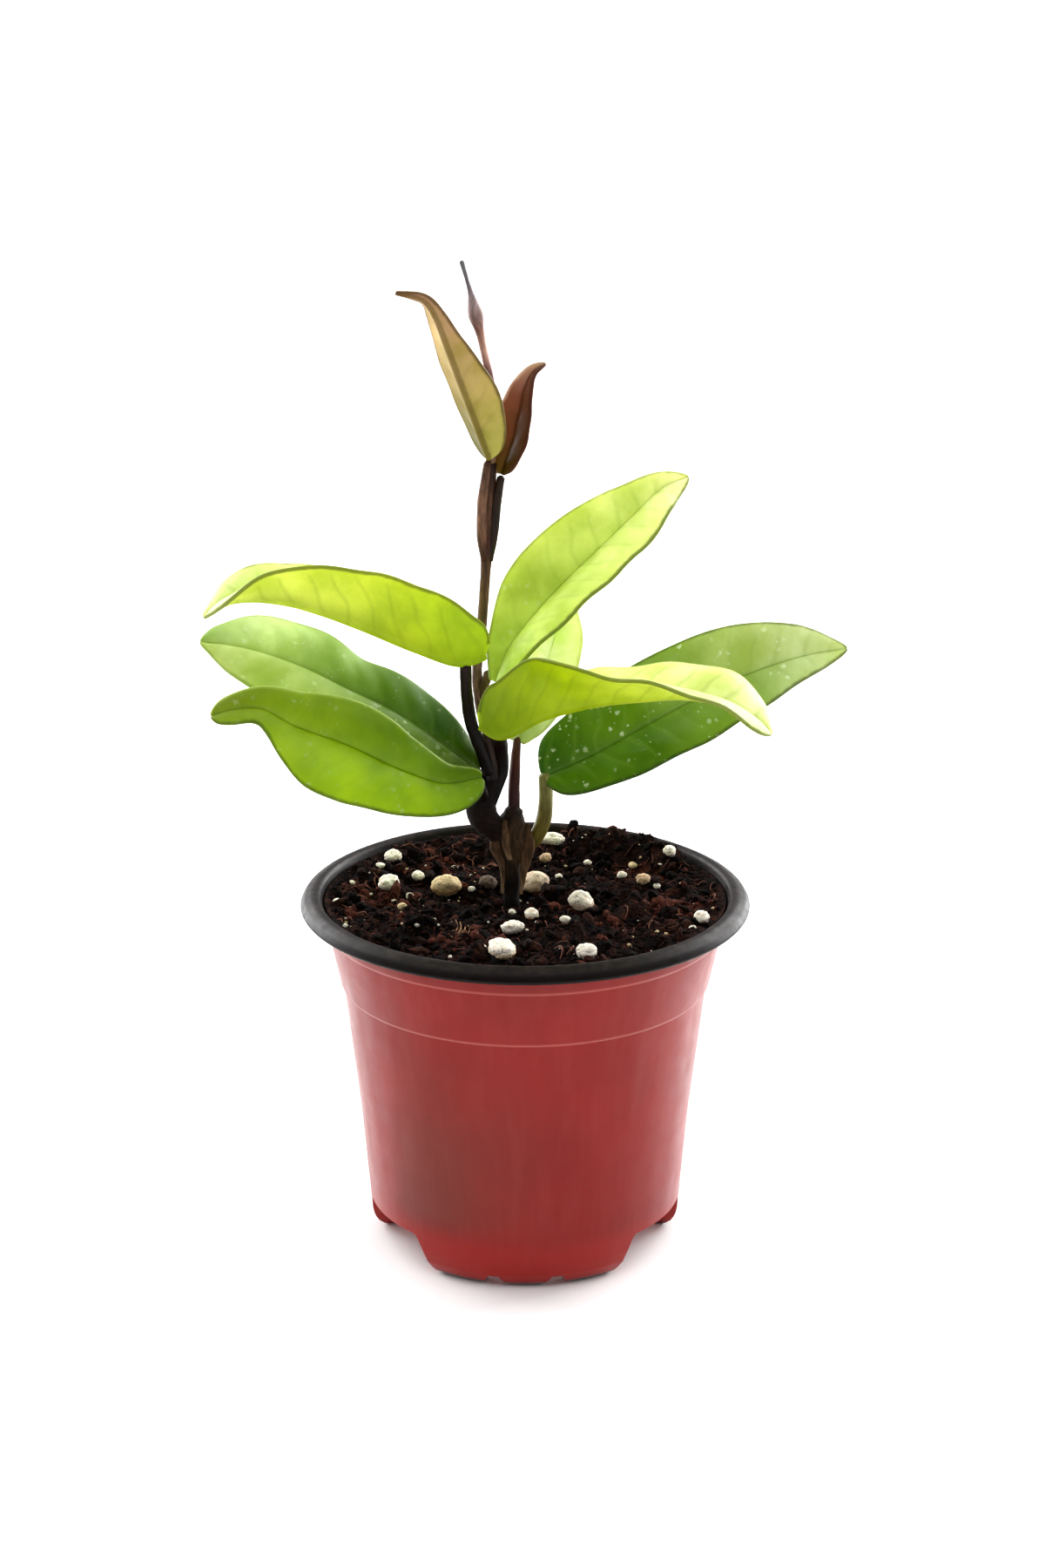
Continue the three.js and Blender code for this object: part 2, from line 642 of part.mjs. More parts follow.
let ground = soil().subtract(oldStem(GAP));
GRANULES.forEach((place, index) => {
  ground = ground.subtract(granule(place, index, GAP));
});
addPiece('soil', ground, 0x23120e, 1);
GRANULES.forEach((place, index) => {
  addPiece(`perlite_${index + 1}`, granule(place, index), 0xe4d8c0, 0.9);
});

addPiece('old_stem', stump, 0x3b2a1c, 0.9);
addPiece('main_stem', tall, 0x5a3b30, 0.7);
const shoot = YOUNG_PAIR.reduce((body, leaf) => body.subtract(blade(leaf, GAP)), rod(SHOOT_TIP));
addPiece('shoot_tip', shoot.subtract(mainStem(GAP)), 0xa07884, 0.6);

for (const [name, stalk] of Object.entries(STALKS)) {
  let body = rod(stalk).subtract(oldStem(GAP)).subtract(mainStem(GAP));
  for (const leaf of Object.values(LEAVES)) body = body.subtract(blade(leaf, LEAF_GAP));
  addPiece(name, body, STALK_COLOURS[name] ?? DARK_STEM, 0.6);
}

for (const [name, leaf] of Object.entries(LEAVES)) {
  addPiece(name, blade(leaf), leaf.colour, 0.4);
}

export default pieces;
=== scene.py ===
import json
import math
import random
from contextlib import contextmanager

import bmesh
import bpy
import numpy as np
from mathutils import Matrix, Vector, noise


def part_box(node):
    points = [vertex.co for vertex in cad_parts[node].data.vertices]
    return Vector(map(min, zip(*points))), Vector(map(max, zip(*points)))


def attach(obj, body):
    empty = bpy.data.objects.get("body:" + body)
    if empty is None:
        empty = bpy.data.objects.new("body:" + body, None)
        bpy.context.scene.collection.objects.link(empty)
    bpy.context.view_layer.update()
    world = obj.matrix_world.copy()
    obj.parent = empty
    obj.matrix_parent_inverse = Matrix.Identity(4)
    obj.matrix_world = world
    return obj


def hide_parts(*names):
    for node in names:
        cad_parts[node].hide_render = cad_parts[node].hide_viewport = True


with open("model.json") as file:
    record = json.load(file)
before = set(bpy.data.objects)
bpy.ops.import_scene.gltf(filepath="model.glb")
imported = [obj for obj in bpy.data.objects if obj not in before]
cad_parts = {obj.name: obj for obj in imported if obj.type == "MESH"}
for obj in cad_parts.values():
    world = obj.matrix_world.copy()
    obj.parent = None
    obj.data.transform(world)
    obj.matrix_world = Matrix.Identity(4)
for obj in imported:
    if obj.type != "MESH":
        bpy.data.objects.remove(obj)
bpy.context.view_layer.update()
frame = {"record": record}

MM = 0.001

noise.seed_set(1)  # noise.noise_vector would take its offsets from the clock without it

# ---------------------------------------------------------------- shapes shared with the solids

POT = {
    "height": 81.0,
    "wall": 1.2,
    "lip_radius": 50.0,
    "mouth_radius": 46.0,
    "lip_depth": 3.4,
    "upper_ring": (44.0, 73.2),
    "lower_ring": (40.5, 60.2),
    "waist": (37.1, 31.0),
    "ledge": 0.6,
    "corner_radius": 34.9,
    "corner_height": 5.6,
    "foot_outer": 31.6,
    "foot_inner": 29.6,
    "foot_height": 9.6,
}
# places of the foot ring's openings at each side, in degrees from the front
LARGE_NOTCHES = (61.8, 118.2)
SMALL_NOTCHES = (12.0, 168.0)
NOTCHES = [
    # angle from the front, half width and softness in degrees, and height
    *[(side * angle, 21.9, 4.6, 9.2) for side in (-1, 1) for angle in LARGE_NOTCHES],
    *[(side * angle, 3.2, 1.3, 2.8) for side in (-1, 1) for angle in SMALL_NOTCHES],
]
DRAIN_RADIUS = 4.0
DRAIN_RING = 22.0
CRISP_EDGE = math.radians(38)  # the pot's edges that turn more than this aren't shaded smooth
GAP = 0.3

SOIL_MIDDLE = 77.0
SOIL_EDGE = 79.4
SOIL_RADIUS = 44.6
SOIL_LUMPS = 70
LUMP_REACH = 41
LUMP_RANGE = (-2, 6)  # the lumps' lowest and highest rise
HEAPS = [
    # x, y, height and spread of the heaps by the back wall
    (10, 40, 3, 8), (21, 36, 4.8, 6), (29, 31, 5.2, 5), (34, 25, 5, 4.5), (40, 17, 1.2, 4),
    (-12, 38, 2.4, 8), (-26, 31, 1.2, 7),
]

OLD_STEM = {
    "path": [(-3, 3.6, 64.6), (-3, 3.6, 75.6), (-3, 3.8, 85.1), (-3, 4.2, 93.4),
             (-2.6, 4.6, 98.2)],
    "radii": [1.8, 1.8, 1.9, 3.4, 2],
}
KNEE = {
    "path": [(-3.2, 4.2, 90.4), (-6.4, 3.6, 93.6), (-9.6, 3, 98), (-9.2, 3.2, 101.8),
             (-7.2, 3.8, 105.6)],
    "radii": [2.2, 2.7, 3.4, 2.9, 1.9],
}
BARK = [
    {
        "path": [(-5, 3, 79.1), (-5, 2.9, 84.6), (-6.6, 2.2, 90.6), (-6.4, 1.6, 95.6)],
        "radii": [0.4, 0.8, 1.3, 0.7],
    },
    {
        "path": [(-1, 2.6, 79.1), (-0.4, 2.6, 84.6), (0.6, 3, 90.1), (0.4, 3.6, 95.1)],
        "radii": [0.4, 0.9, 1.6, 0.7],
    },
    {
        "path": [(-3.4, 1.6, 87.6), (-4.4, 0.9, 92.1), (-4.6, 1.4, 96.6)],
        "radii": [0.6, 1, 0.5],
    },
]
MAIN_STEM = {
    "path": [(-7.2, 3.2, 105.6), (-7.9, 3, 114.6), (-9.9, 3, 123.6), (-10.5, 3, 131.6),
             (-9.4, 3, 141.6), (-8.7, 3, 151.6), (-8.1, 3, 160.6), (-7.8, 3, 168.6),
             (-7.4, 3.2, 176.6)],
    "radii": [1.5, 1.3, 1.25, 1.15, 1.1, 1.1, 1.4, 1.5, 1.3],
}
YOUNG_STALKS = [
    {
        "path": [(-8.9, 2.4, 155.6), (-9.3, 2.2, 161.6), (-9.2, 1.6, 168.6), (-8, 0.8, 177.4)],
        "radii": [0.8, 1.2, 1.1, 0.9],
    },
    {
        "path": [(-7.7, 2.8, 155.6), (-6.7, 2.6, 162.6), (-6.2, 2.4, 168.6), (-5.2, 2.4, 173.8)],
        "radii": [0.8, 1.1, 1.1, 0.9],
    },
]
SHOOT_TIP = {
    "path": [(-7.4, 3, 177.2), (-6.9, 2.4, 185.6), (-7.2, 2.2, 193.6), (-8.4, 2.2, 199.6),
             (-9.7, 2.2, 205.5), (-10.4, 2.2, 208.7), (-11, 2.2, 211.1), (-11.5, 2.2, 213.5),
             (-12.5, 2.2, 217.1), (-13.4, 2.2, 220)],
    "radii": [1.1, 0.95, 0.85, 0.8, 0.95, 1.65, 1.2, 0.6, 0.4, 0.5],
}
STALKS = {
    "stalk_upper_left": {
        "path": [(-8, 2.6, 107.6), (-9.6, 1.2, 113), (-11.8, -1, 120), (-12.7, -4.6, 128.6),
                 (-12.9, -6.7, 134.6)],
        "radii": [1.4, 1.4, 1.4, 1.3, 1.3],
    },
    "stalk_upright": {
        "path": [(-9.9, 3, 123.6), (-9, 2, 127.1), (-8, 1.4, 130.6)],
        "radii": [0.9, 0.9, 1.1],
    },
    "stalk_lower_right": {
        "path": [(-7.8, 3.6, 99.6), (-6.4, 4, 103.4), (-5.2, 4.2, 107.6), (-5.3, 2, 113.6),
                 (-5.6, -6, 120.2)],
        "radii": [1.3, 1.4, 1.5, 1.5, 1.3],
    },
    "stalk_back": {
        "path": [(-2.5, 4.6, 95.2), (-2.5, 5, 100.6), (-2.3, 6, 106.6), (-1.8, 8, 113.6)],
        "radii": [1.3, 1.3, 1.2, 0.9],
    },
    "stalk_large_right": {
        "path": [(-0.8, 4.6, 89.2), (2, 5, 91.2), (4, 5.6, 95.2), (4.6, 6, 101.2),
                 (4.4, 6.2, 105.6)],
        "radii": [1.7, 1.7, 1.7, 1.6, 1.5],
    },
    "stalk_middle_left": {
        "path": [(-8.6, 4, 102.6), (-9.6, 3.6, 105.6), (-11.4, 2.6, 108.6)],
        "radii": [1.2, 1.1, 1.1],
    },
    "stalk_lower_left": {
        "path": [(-9, 2.4, 101.2), (-9.4, -1.6, 104.4), (-10.4, -5, 108.2)],
        "radii": [1.2, 1.1, 1.1],
    },
}

# midrib runs from the stalk to the tip, and face is the way the upper surface looks. left and
# right are half widths from base to tip, spaced more closely at both ends. The rises are how far
# each half is folded up, in degrees, at even steps along the leaf. steady turns the rows square
# to the whole leaf instead of to the midrib at their own place.
LEAVES = {
    "leaf_upper_left": {
        "midrib": [(-8.4, -6, 136.4), (-14, -7, 135.2), (-24, -9, 139.2), (-33.5, -10.5, 143.8),
                   (-42.5, -12, 147.8), (-50.5, -13.5, 150.6), (-58.5, -14.5, 151.6),
                   (-64, -15, 150.6), (-68, -15, 147.6)],
        "face": (0, 0, 1), "steady": 0.9,
        "left": [3.5, 9, 13, 13.5, 13, 11, 7, 2.5, 0.4],
        "right": [2, 7, 11.5, 13, 12, 10, 7.5, 3.5, 0.4],
        "left_rise": [85, 90, 80, 64, 50, -10],
        "right_rise": [15, 30, 38, 42, 45, 45],
        "bulge": 1, "wave": 0.4,
    },
    "leaf_middle_left": {
        "midrib": [(-10.6, 2, 108), (-19.7, 1, 115.4), (-29, 1, 121.8), (-38.5, 0, 127),
                   (-48, 0, 131.9), (-59, 0, 135.9), (-70.4, 0, 138)],
        "face": (0, -0.7, 0.7), "steady": 0,
        "left": [2, 7, 14, 16.6, 14.2, 11.5, 9, 3, 0.4],
        "right": [2, 4.5, 7, 9.3, 9.2, 10.8, 9, 5, 0.4],
        "left_rise": [10],
        "right_rise": [0, -5, -5, -8],
        "bulge": 1, "wave": 0.5,
    },
    "leaf_lower_left": {
        "midrib": [(-9.5, -5, 108.6), (-17.6, -8, 108.2), (-27, -12, 112.6), (-38, -15, 119),
                   (-49, -17, 123.9), (-56, -18, 128.1), (-61.5, -19, 128.4), (-66.6, -19, 127)],
        "face": (0, -0.8, 0.6), "steady": 0,
        "left": [1.6, 3.8, 5.9, 8, 9.6, 11.6, 13, 12.8, 5.9, 3.9, 3.4, 2.3, 0.6],
        "right": [1.6, 3.2, 5.2, 8, 10, 8.4, 4.8, 2.8, 0.5],
        "left_rise": [10], "right_rise": [10],
        "bulge": 1, "wave": 0.4,
    },
    "leaf_upright": {
        "midrib": [(-6.3, -1.5, 129.4), (-3, 2.2, 136.1), (3, 7, 142.8), (10, 12, 149.1),
                   (16.6, 16, 154.6), (24.3, 20, 161.3), (30.5, 23, 166.5), (36, 24, 169)],
        "face": (-0.4, -0.8, 0.4), "steady": 0,
        "left": [1.6, 3, 6.3, 11, 12, 10, 6, 2.5, 0.4],
        "right": [2, 5, 9, 11, 11.5, 11, 8, 3.5, 0.4],
        "left_rise": [15],
        "right_rise": [30, 30, 25],
        "bulge": 0.8, "wave": 0.3,
    },
    "leaf_back": {
        "midrib": [(-1.8, 8, 113), (1, 11, 119.6), (4.2, 14, 127.6), (7, 17, 136.6),
                   (9, 19, 146.1)],
        "face": (0, -1, 0.2), "steady": 0,
        "left": [1.8, 3.5, 6.5, 8, 8, 7, 4, 2, 0.4],
        "right": [1.8, 3, 5.5, 7, 7.2, 6.5, 4, 2, 0.4],
        "left_rise": [10], "right_rise": [10],
        "bulge": 0.6, "wave": 0.3,
    },
    "leaf_lower_right": {
        "midrib": [(-10, -10, 121.6), (-5.5, -10.5, 119.6), (4, -13, 125), (14, -16, 128.8),
                   (24.4, -19, 131), (34.4, -21, 132), (43.5, -22, 130.2), (49, -22, 126.6),
                   (52, -22, 123.8)],
        "face": (0, 0, 1), "steady": 0.9,
        "left": [2, 7, 11.5, 12.5, 12.5, 12, 10, 6, 0.4],
        "right": [4, 11, 14, 13.5, 12.5, 11, 8, 4, 0.4],
        "left_rise": [25, 22, 20, 18, 22, 30],
        "right_rise": [95, 88, 48, 30, 12, -5],
        "bulge": 1, "wave": 0.4,
    },
    "leaf_large_right": {
        "midrib": [(4.2, 6.2, 105.2), (15, 8, 109.6), (26.4, 10, 115.6), (38, 12, 121.4),
                   (49.5, 13, 126.8), (61, 13, 130.8), (71, 12, 133.1)],
        "face": (0, -0.8, 0.6), "steady": 0,
        "left": [2, 8, 11, 13, 13.5, 12, 8, 3, 0.4],
        "right": [2, 6, 8.5, 10, 10.5, 9, 6, 2.5, 0.4],
        "left_rise": [10], "right_rise": [10],
        "bulge": 1, "wave": 0.4,
    },
    "young_leaf_left": {
        "midrib": [(-7.6, 0.5, 178.3), (-10.4, -1, 186.6), (-13.6, -3, 195.8), (-16, -4.5, 202.8),
                   (-18.4, -6, 209.6), (-21, -7.5, 213.6), (-26.8, -9, 215.4)],
        "face": (0.4, 0.9, 0.2), "steady": 0,
        "left": [1.4, 4, 6, 6.8, 5, 2.6, 1.4, 0.7, 0.35],
        "right": [1.4, 3.2, 4.8, 5.4, 5.6, 4.4, 2.2, 0.9, 0.35],
        "left_rise": [35, 35, 30],
        "right_rise": [30],
        "bulge": 0.3, "wave": 0.1,
    },
    "young_leaf_right": {
        "midrib": [(-5, 3, 174.4), (-2.6, 5.6, 180.5), (-1, 7.8, 187.4), (0, 8.6, 192),
                   (1.7, 9.4, 195.3), (4.3, 10, 197)],
        "face": (-0.2, -0.9, 0.3), "steady": 0,
        "left": [1.2, 2.6, 3.8, 4.6, 4.8, 3.6, 2, 1, 0.35],
        "right": [1.2, 3, 4.2, 4.8, 4.2, 3, 1.6, 0.8, 0.35],
        "left_rise": [10, 10, 20],
        "right_rise": [40, 40, 30],
        "bulge": 0.3, "wave": 0.1,
    },
}
EDGE_RIPPLES = 9
THICK_MIDDLE = 1.5
THICK_MARGIN = 0.8
THINNEST = 0.7



def alike(*stops):
    """Colours for both halves of a leaf's face."""
    return stops, stops


# Display colours from base to tip, for the left and the right half of each face of a leaf, and
# how its veins, flecks and margin show; the edges tones make a painted margin line, the dark ones
# painted shade along the thick edge and the pale ones painted light caught by it. blend is how
# softly the halves' colours meet.
LOOKS = {
    "leaf_upper_left": {
        "upper": ([(170, 206, 50), (200, 224, 100), (224, 238, 150)],
                  [(170, 206, 50), (206, 226, 116), (222, 236, 152)]),
        "under": ([(158, 190, 0), (190, 210, 30), (212, 226, 76), (220, 232, 104)],
                  [(136, 166, 2), (166, 190, 24)]),
        "vein": (122, 144, 0), "veins": 0.2, "rib": 0.2, "flecks": 0, "glow": 0.4,
        "gloss": 0.45, "shine": 0.16, "edges": ((98, 112, 22), (98, 112, 22)), "rim": 0.85},
    "leaf_middle_left": {
        # the pale stops toward the tip of the upper face paint a broad sheen over the leaf's green
        "upper": ([(76, 104, 4), (100, 132, 20), (180, 202, 104), (192, 212, 112)],
                  [(70, 100, 2), (46, 86, 0), (100, 136, 40), (150, 180, 84), (208, 230, 144),
                   (130, 164, 56)]),
        "under": alike((120, 158, 60), (150, 182, 80)),
        "vein": (140, 170, 70), "veins": 0.1, "rib": 0.22, "flecks": 0.3, "glow": 0.12,
        "gloss": 0.36, "shine": 0.22, "edges": ((112, 136, 50), (112, 136, 70)), "rim": 0.6},
    "leaf_lower_left": {
        "upper": ([(96, 130, 0), (142, 178, 0), (152, 188, 8), (148, 180, 28), (122, 148, 26)],
                  [(88, 118, 0), (98, 132, 0), (108, 140, 0), (132, 162, 10), (104, 124, 6)]),
        "under": alike((120, 156, 40), (150, 182, 60)),
        "vein": (104, 134, 0), "veins": 0.1, "rib": 0.12, "flecks": 0.12, "glow": 0.15,
        "gloss": 0.38, "shine": 0.18, "edges": ((58, 80, 8), (156, 180, 84)), "rim": 0.75,
        "blend": 0.7},
    "leaf_upright": {
        "upper": ([(164, 190, 58), (184, 206, 72), (210, 228, 110), (240, 250, 166)],
                  [(192, 218, 92), (202, 224, 96), (218, 236, 124), (240, 250, 168)]),
        "under": alike((140, 174, 50), (180, 204, 80)),
        "vein": (148, 176, 44), "veins": 0.18, "rib": 0.4, "flecks": 0.15, "glow": 0.4,
        "gloss": 0.44, "shine": 0.16, "edges": ((122, 142, 66), (80, 98, 20)), "rim": 0.85},
    "leaf_back": {
        # the nearly white stops are partly painted light: they stand in for light shining through
        # the leaf from behind
        "upper": ([(172, 196, 116), (236, 249, 208), (244, 253, 218)],
                  [(178, 200, 120), (240, 251, 212), (246, 253, 220)]),
        "under": alike((150, 186, 70), (180, 210, 100)),
        "vein": (184, 208, 110), "veins": 0.16, "rib": 0.25, "flecks": 0, "glow": 0.5,
        "gloss": 0.45, "shine": 0.16, "edges": ((156, 172, 100), (156, 172, 100)), "rim": 0.6},
    "leaf_lower_right": {
        "upper": ([(206, 226, 86), (226, 238, 132), (226, 238, 156)],
                  [(186, 208, 66), (214, 230, 122), (214, 230, 146)]),
        "under": ([(134, 160, 0), (170, 192, 20)],
                  [(126, 150, 0), (176, 198, 4), (206, 222, 70), (222, 234, 110)]),
        "vein": (114, 134, 0), "veins": 0.22, "rib": 0.25, "flecks": 0, "glow": 0.4,
        "gloss": 0.44, "shine": 0.16, "edges": ((90, 104, 18), (90, 104, 18)), "rim": 0.85},
    "leaf_large_right": {
        "upper": ([(44, 90, 0), (98, 138, 4), (176, 198, 100), (222, 234, 168)],
                  [(84, 128, 2), (76, 118, 0), (132, 166, 46), (226, 242, 168)]),
        "under": alike((90, 138, 30), (120, 158, 60)),
        "vein": (128, 164, 60), "veins": 0.2, "rib": 0.28, "flecks": 0.6, "glow": 0.12,
        "gloss": 0.36, "shine": 0.2, "edges": ((60, 84, 20), (34, 54, 6)), "rim": 0.75},
    "young_leaf_left": {
        "upper": alike((70, 44, 20), (72, 40, 20)),
        "under": ([(170, 162, 70), (178, 158, 80), (186, 150, 104), (150, 112, 84)],
                  [(96, 90, 4), (146, 126, 54), (208, 174, 114), (140, 104, 72)]),
        "vein": (90, 66, 14), "veins": 0.12, "rib": 0.6, "flecks": 0, "glow": 0.15,
        "gloss": 0.45, "shine": 0.14, "edges": ((60, 36, 14), (84, 56, 24)), "rim": 0.8},
    "young_leaf_right": {
        "upper": ([(90, 68, 0), (124, 70, 30), (128, 74, 44), (190, 146, 120)],
                  [(70, 50, 0), (78, 40, 0), (88, 44, 8), (120, 70, 50)]),
        "under": alike((150, 110, 60), (130, 80, 50)),
        "vein": (60, 22, 2), "veins": 0.14, "rib": 0.4, "flecks": 0, "glow": 0.15,
        "gloss": 0.38, "shine": 0.18, "edges": ((186, 156, 138), (64, 30, 10)), "rim": 0.85},
}

# ---------------------------------------------------------------- numbers and points


def colour(red, green, blue):
    """A display colour from 0 to 255 as the linear one that the shaders use."""
    parts = [value / 255 for value in (red, green, blue)]
    linear = [v / 12.92 if v <= 0.04045 else ((v + 0.055) / 1.055) ** 2.4 for v in parts]
    return (*linear, 1.0)


def along(values, t):
    """The value at share t of a list of evenly spaced values, on a smooth curve through them."""
    if len(values) == 1:
        return values[0]
    place = t * (len(values) - 1)
    start = min(int(place), len(values) - 2)
    before, after = values[max(start - 1, 0)], values[min(start + 2, len(values) - 1)]
    low, high = values[start], values[start + 1]
    s = place - start
    slope_low, slope_high = (high - before) / 2, (after - low) / 2
    return ((2 * s**3 - 3 * s**2 + 1) * low + (s**3 - 2 * s**2 + s) * slope_low
            + (3 * s**2 - 2 * s**3) * high + (s**3 - s**2) * slope_high)


def step_between(low, high, value):
    """0 below low, 1 above high and a smooth rise between them."""
    share = min(max((value - low) / (high - low), 0.0), 1.0)
    return share * share * (3 - 2 * share)


class Curve:
    """A smooth line through points, read by share of its length."""

    SAMPLES = 60

    def __init__(self, points):
        knots = [Vector(p) for p in points]
        knots = [2 * knots[0] - knots[1], *knots, 2 * knots[-1] - knots[-2]]
        places, turns = [], []
        for i in range(1, len(knots) - 2):
            four = knots[i - 1:i + 3]
            last = i == len(knots) - 3
            for j in range(self.SAMPLES + last):
                s = j / self.SAMPLES
                places.append(self.through(four, s))
                turns.append(i - 1 + s)
        self.points = np.array(places)
        steps = np.linalg.norm(np.diff(self.points, axis=0), axis=1)
        self.lengths = np.concatenate([[0], np.cumsum(steps)])
        self.length = self.lengths[-1]
        self.turns = np.array(turns) / (len(points) - 1)

    @staticmethod
    def through(four, s):
        """A centripetal curve between the middle two of four points."""
        p0, p1, p2, p3 = four
        d0, d1, d2 = [max((b - a).length ** 0.5, 1e-4) for a, b in zip(four, four[1:])]
        t1 = ((p1 - p0) / d0 - (p2 - p0) / (d0 + d1) + (p2 - p1) / d1) * d1
        t2 = ((p2 - p1) / d1 - (p3 - p1) / (d1 + d2) + (p3 - p2) / d2) * d1
        return (p1 + t1 * s + (3 * (p2 - p1) - 2 * t1 - t2) * s**2
                + (2 * (p1 - p2) + t1 + t2) * s**3)

    def read(self, values, share):
        return np.interp(share * self.length, self.lengths, values)

    def point(self, share):
        return np.array([self.read(self.points[:, k], share) for k in range(3)])

    def tangent(self, share):
        small = 0.004
        ahead, behind = self.point(min(share + small, 1)), self.point(max(share - small, 0))
        return (ahead - behind) / np.linalg.norm(ahead - behind)

    def knot_share(self, share):
        """Where share lies among the evenly counted points, from 0 to 1."""
        return self.read(self.turns, share)


def unit(vector):
    return vector / np.linalg.norm(vector)


def rough(x, y, z, size, depth=3):
    """Fractal noise of about -1 to 1 with features of that size."""
    return noise.fractal(Vector((x, y, z)) / size, 1.0, 2.0, depth)


# ---------------------------------------------------------------- meshes


def mesh_piece(name, points, faces, slot, replaces=(), attributes=None, smooth=True):
    """A mesh object from points in millimetres, riding on the one body."""
    mesh = bpy.data.meshes.new(name)
    mesh.from_pydata([tuple(np.asarray(p) * MM) for p in points], [], faces)
    mesh.validate()
    for key, (kind, values) in (attributes or {}).items():
        layer = mesh.attributes.new(key, kind, "POINT")
        field = {"FLOAT": "value", "FLOAT_VECTOR": "vector", "FLOAT_COLOR": "color"}[kind]
        layer.data.foreach_set(field, np.asarray(values, np.float32).ravel())
    mesh.shade_smooth() if smooth else mesh.shade_flat()
    piece = bpy.data.objects.new(name, mesh)
    bpy.context.scene.collection.objects.link(piece)
    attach(piece, "root")
    if replaces:
        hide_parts(*replaces)
    return piece


@contextmanager
def editing(mesh):
    """Opens a mesh for the mesh operations and writes it back."""
    shell = bmesh.new()
    shell.from_mesh(mesh)
    yield shell
    shell.to_mesh(mesh)
    shell.free()


def close_up(piece, reach=0.0):
    """Joins the points that lie closer than reach and turns every face outwards."""
    with editing(piece.data) as shell:
        if reach:
            bmesh.ops.remove_doubles(shell, verts=shell.verts, dist=reach * MM)
        bmesh.ops.recalc_face_normals(shell, faces=shell.faces)


def round_faces(rows, sides):
    """Faces between the rows of a round form, whose points run round each row in turn."""
    faces = []
    for row in range(rows - 1):
        for side in range(sides):
            ahead = (side + 1) % sides
            faces.append((row * sides + side, row * sides + ahead,
                          (row + 1) * sides + ahead, (row + 1) * sides + side))
    return faces


class Heap:
    """Many small closed forms gathered into one mesh, each with its own tint."""

    def __init__(self):
        self.points, self.faces, self.tints = [], [], []

    def add(self, points, faces, tint):
        first = len(self.points)
        self.points.extend(points)
        self.faces.extend([tuple(first + i for i in face) for face in faces])
        self.tints.extend([tint] * len(points))

    def piece(self, name, slot, **options):
        attributes = {"tint": ("FLOAT_COLOR", self.tints)}
        return mesh_piece(name, self.points, self.faces, slot, attributes=attributes, **options)


def ball(level):
    """Points and faces of a round ball of radius 1."""
    shell = bmesh.new()
    bmesh.ops.create_icosphere(shell, subdivisions=level, radius=1)
    points = [np.array(v.co) for v in shell.verts]
    faces = [tuple(v.index for v in f.verts) for f in shell.faces]
    shell.free()
    return points, faces


def tube(path, radii, sides, steps=None, dents=0.0, seed=0, squeeze=1.0):
    """A round rod along a path, with domed ends and seeded dents. squeeze flattens it.
    Returns points, faces, and each point's place: how far along and how far round it lies, in
    millimetres, and its share of the length."""
    step_length, dome, dome_width = 0.8, 0.5, 0.45
    curve = Curve(path)
    steps = steps or max(8, int(curve.length / step_length))
    shares = [0.0, *[i / steps for i in range(steps + 1)], 1.0]
    last = len(shares) - 1
    tangent = curve.tangent(0)
    normal = unit(np.cross(tangent, (0.3, 1, 0.2)))
    points, places = [], []
    for row, share in enumerate(shares):
        tangent = curve.tangent(share)
        normal = unit(normal - tangent * (normal @ tangent))
        binormal = np.cross(tangent, normal)
        radius = along(radii, curve.knot_share(share))
        centre = curve.point(share)
        if row in (0, last):
            centre = centre + tangent * radius * dome * (-1 if row == 0 else 1)
            radius *= dome_width
        for side in range(sides):
            angle = 2 * math.pi * side / sides
            spot = centre + radius * (math.cos(angle) * normal
                                      + squeeze * math.sin(angle) * binormal)
            dent = dents * rough(spot[0] + seed, spot[1], spot[2] / 2.5, 1.4) if dents else 0
            points.append(spot + dent * unit(spot - centre))
            places.append((share * curve.length, angle * radius, share))
    faces = round_faces(last + 1, sides)
    faces.append(tuple(reversed(range(sides))))
    faces.append(tuple(last * sides + side for side in range(sides)))
    return points, faces, places


# ---------------------------------------------------------------- materials


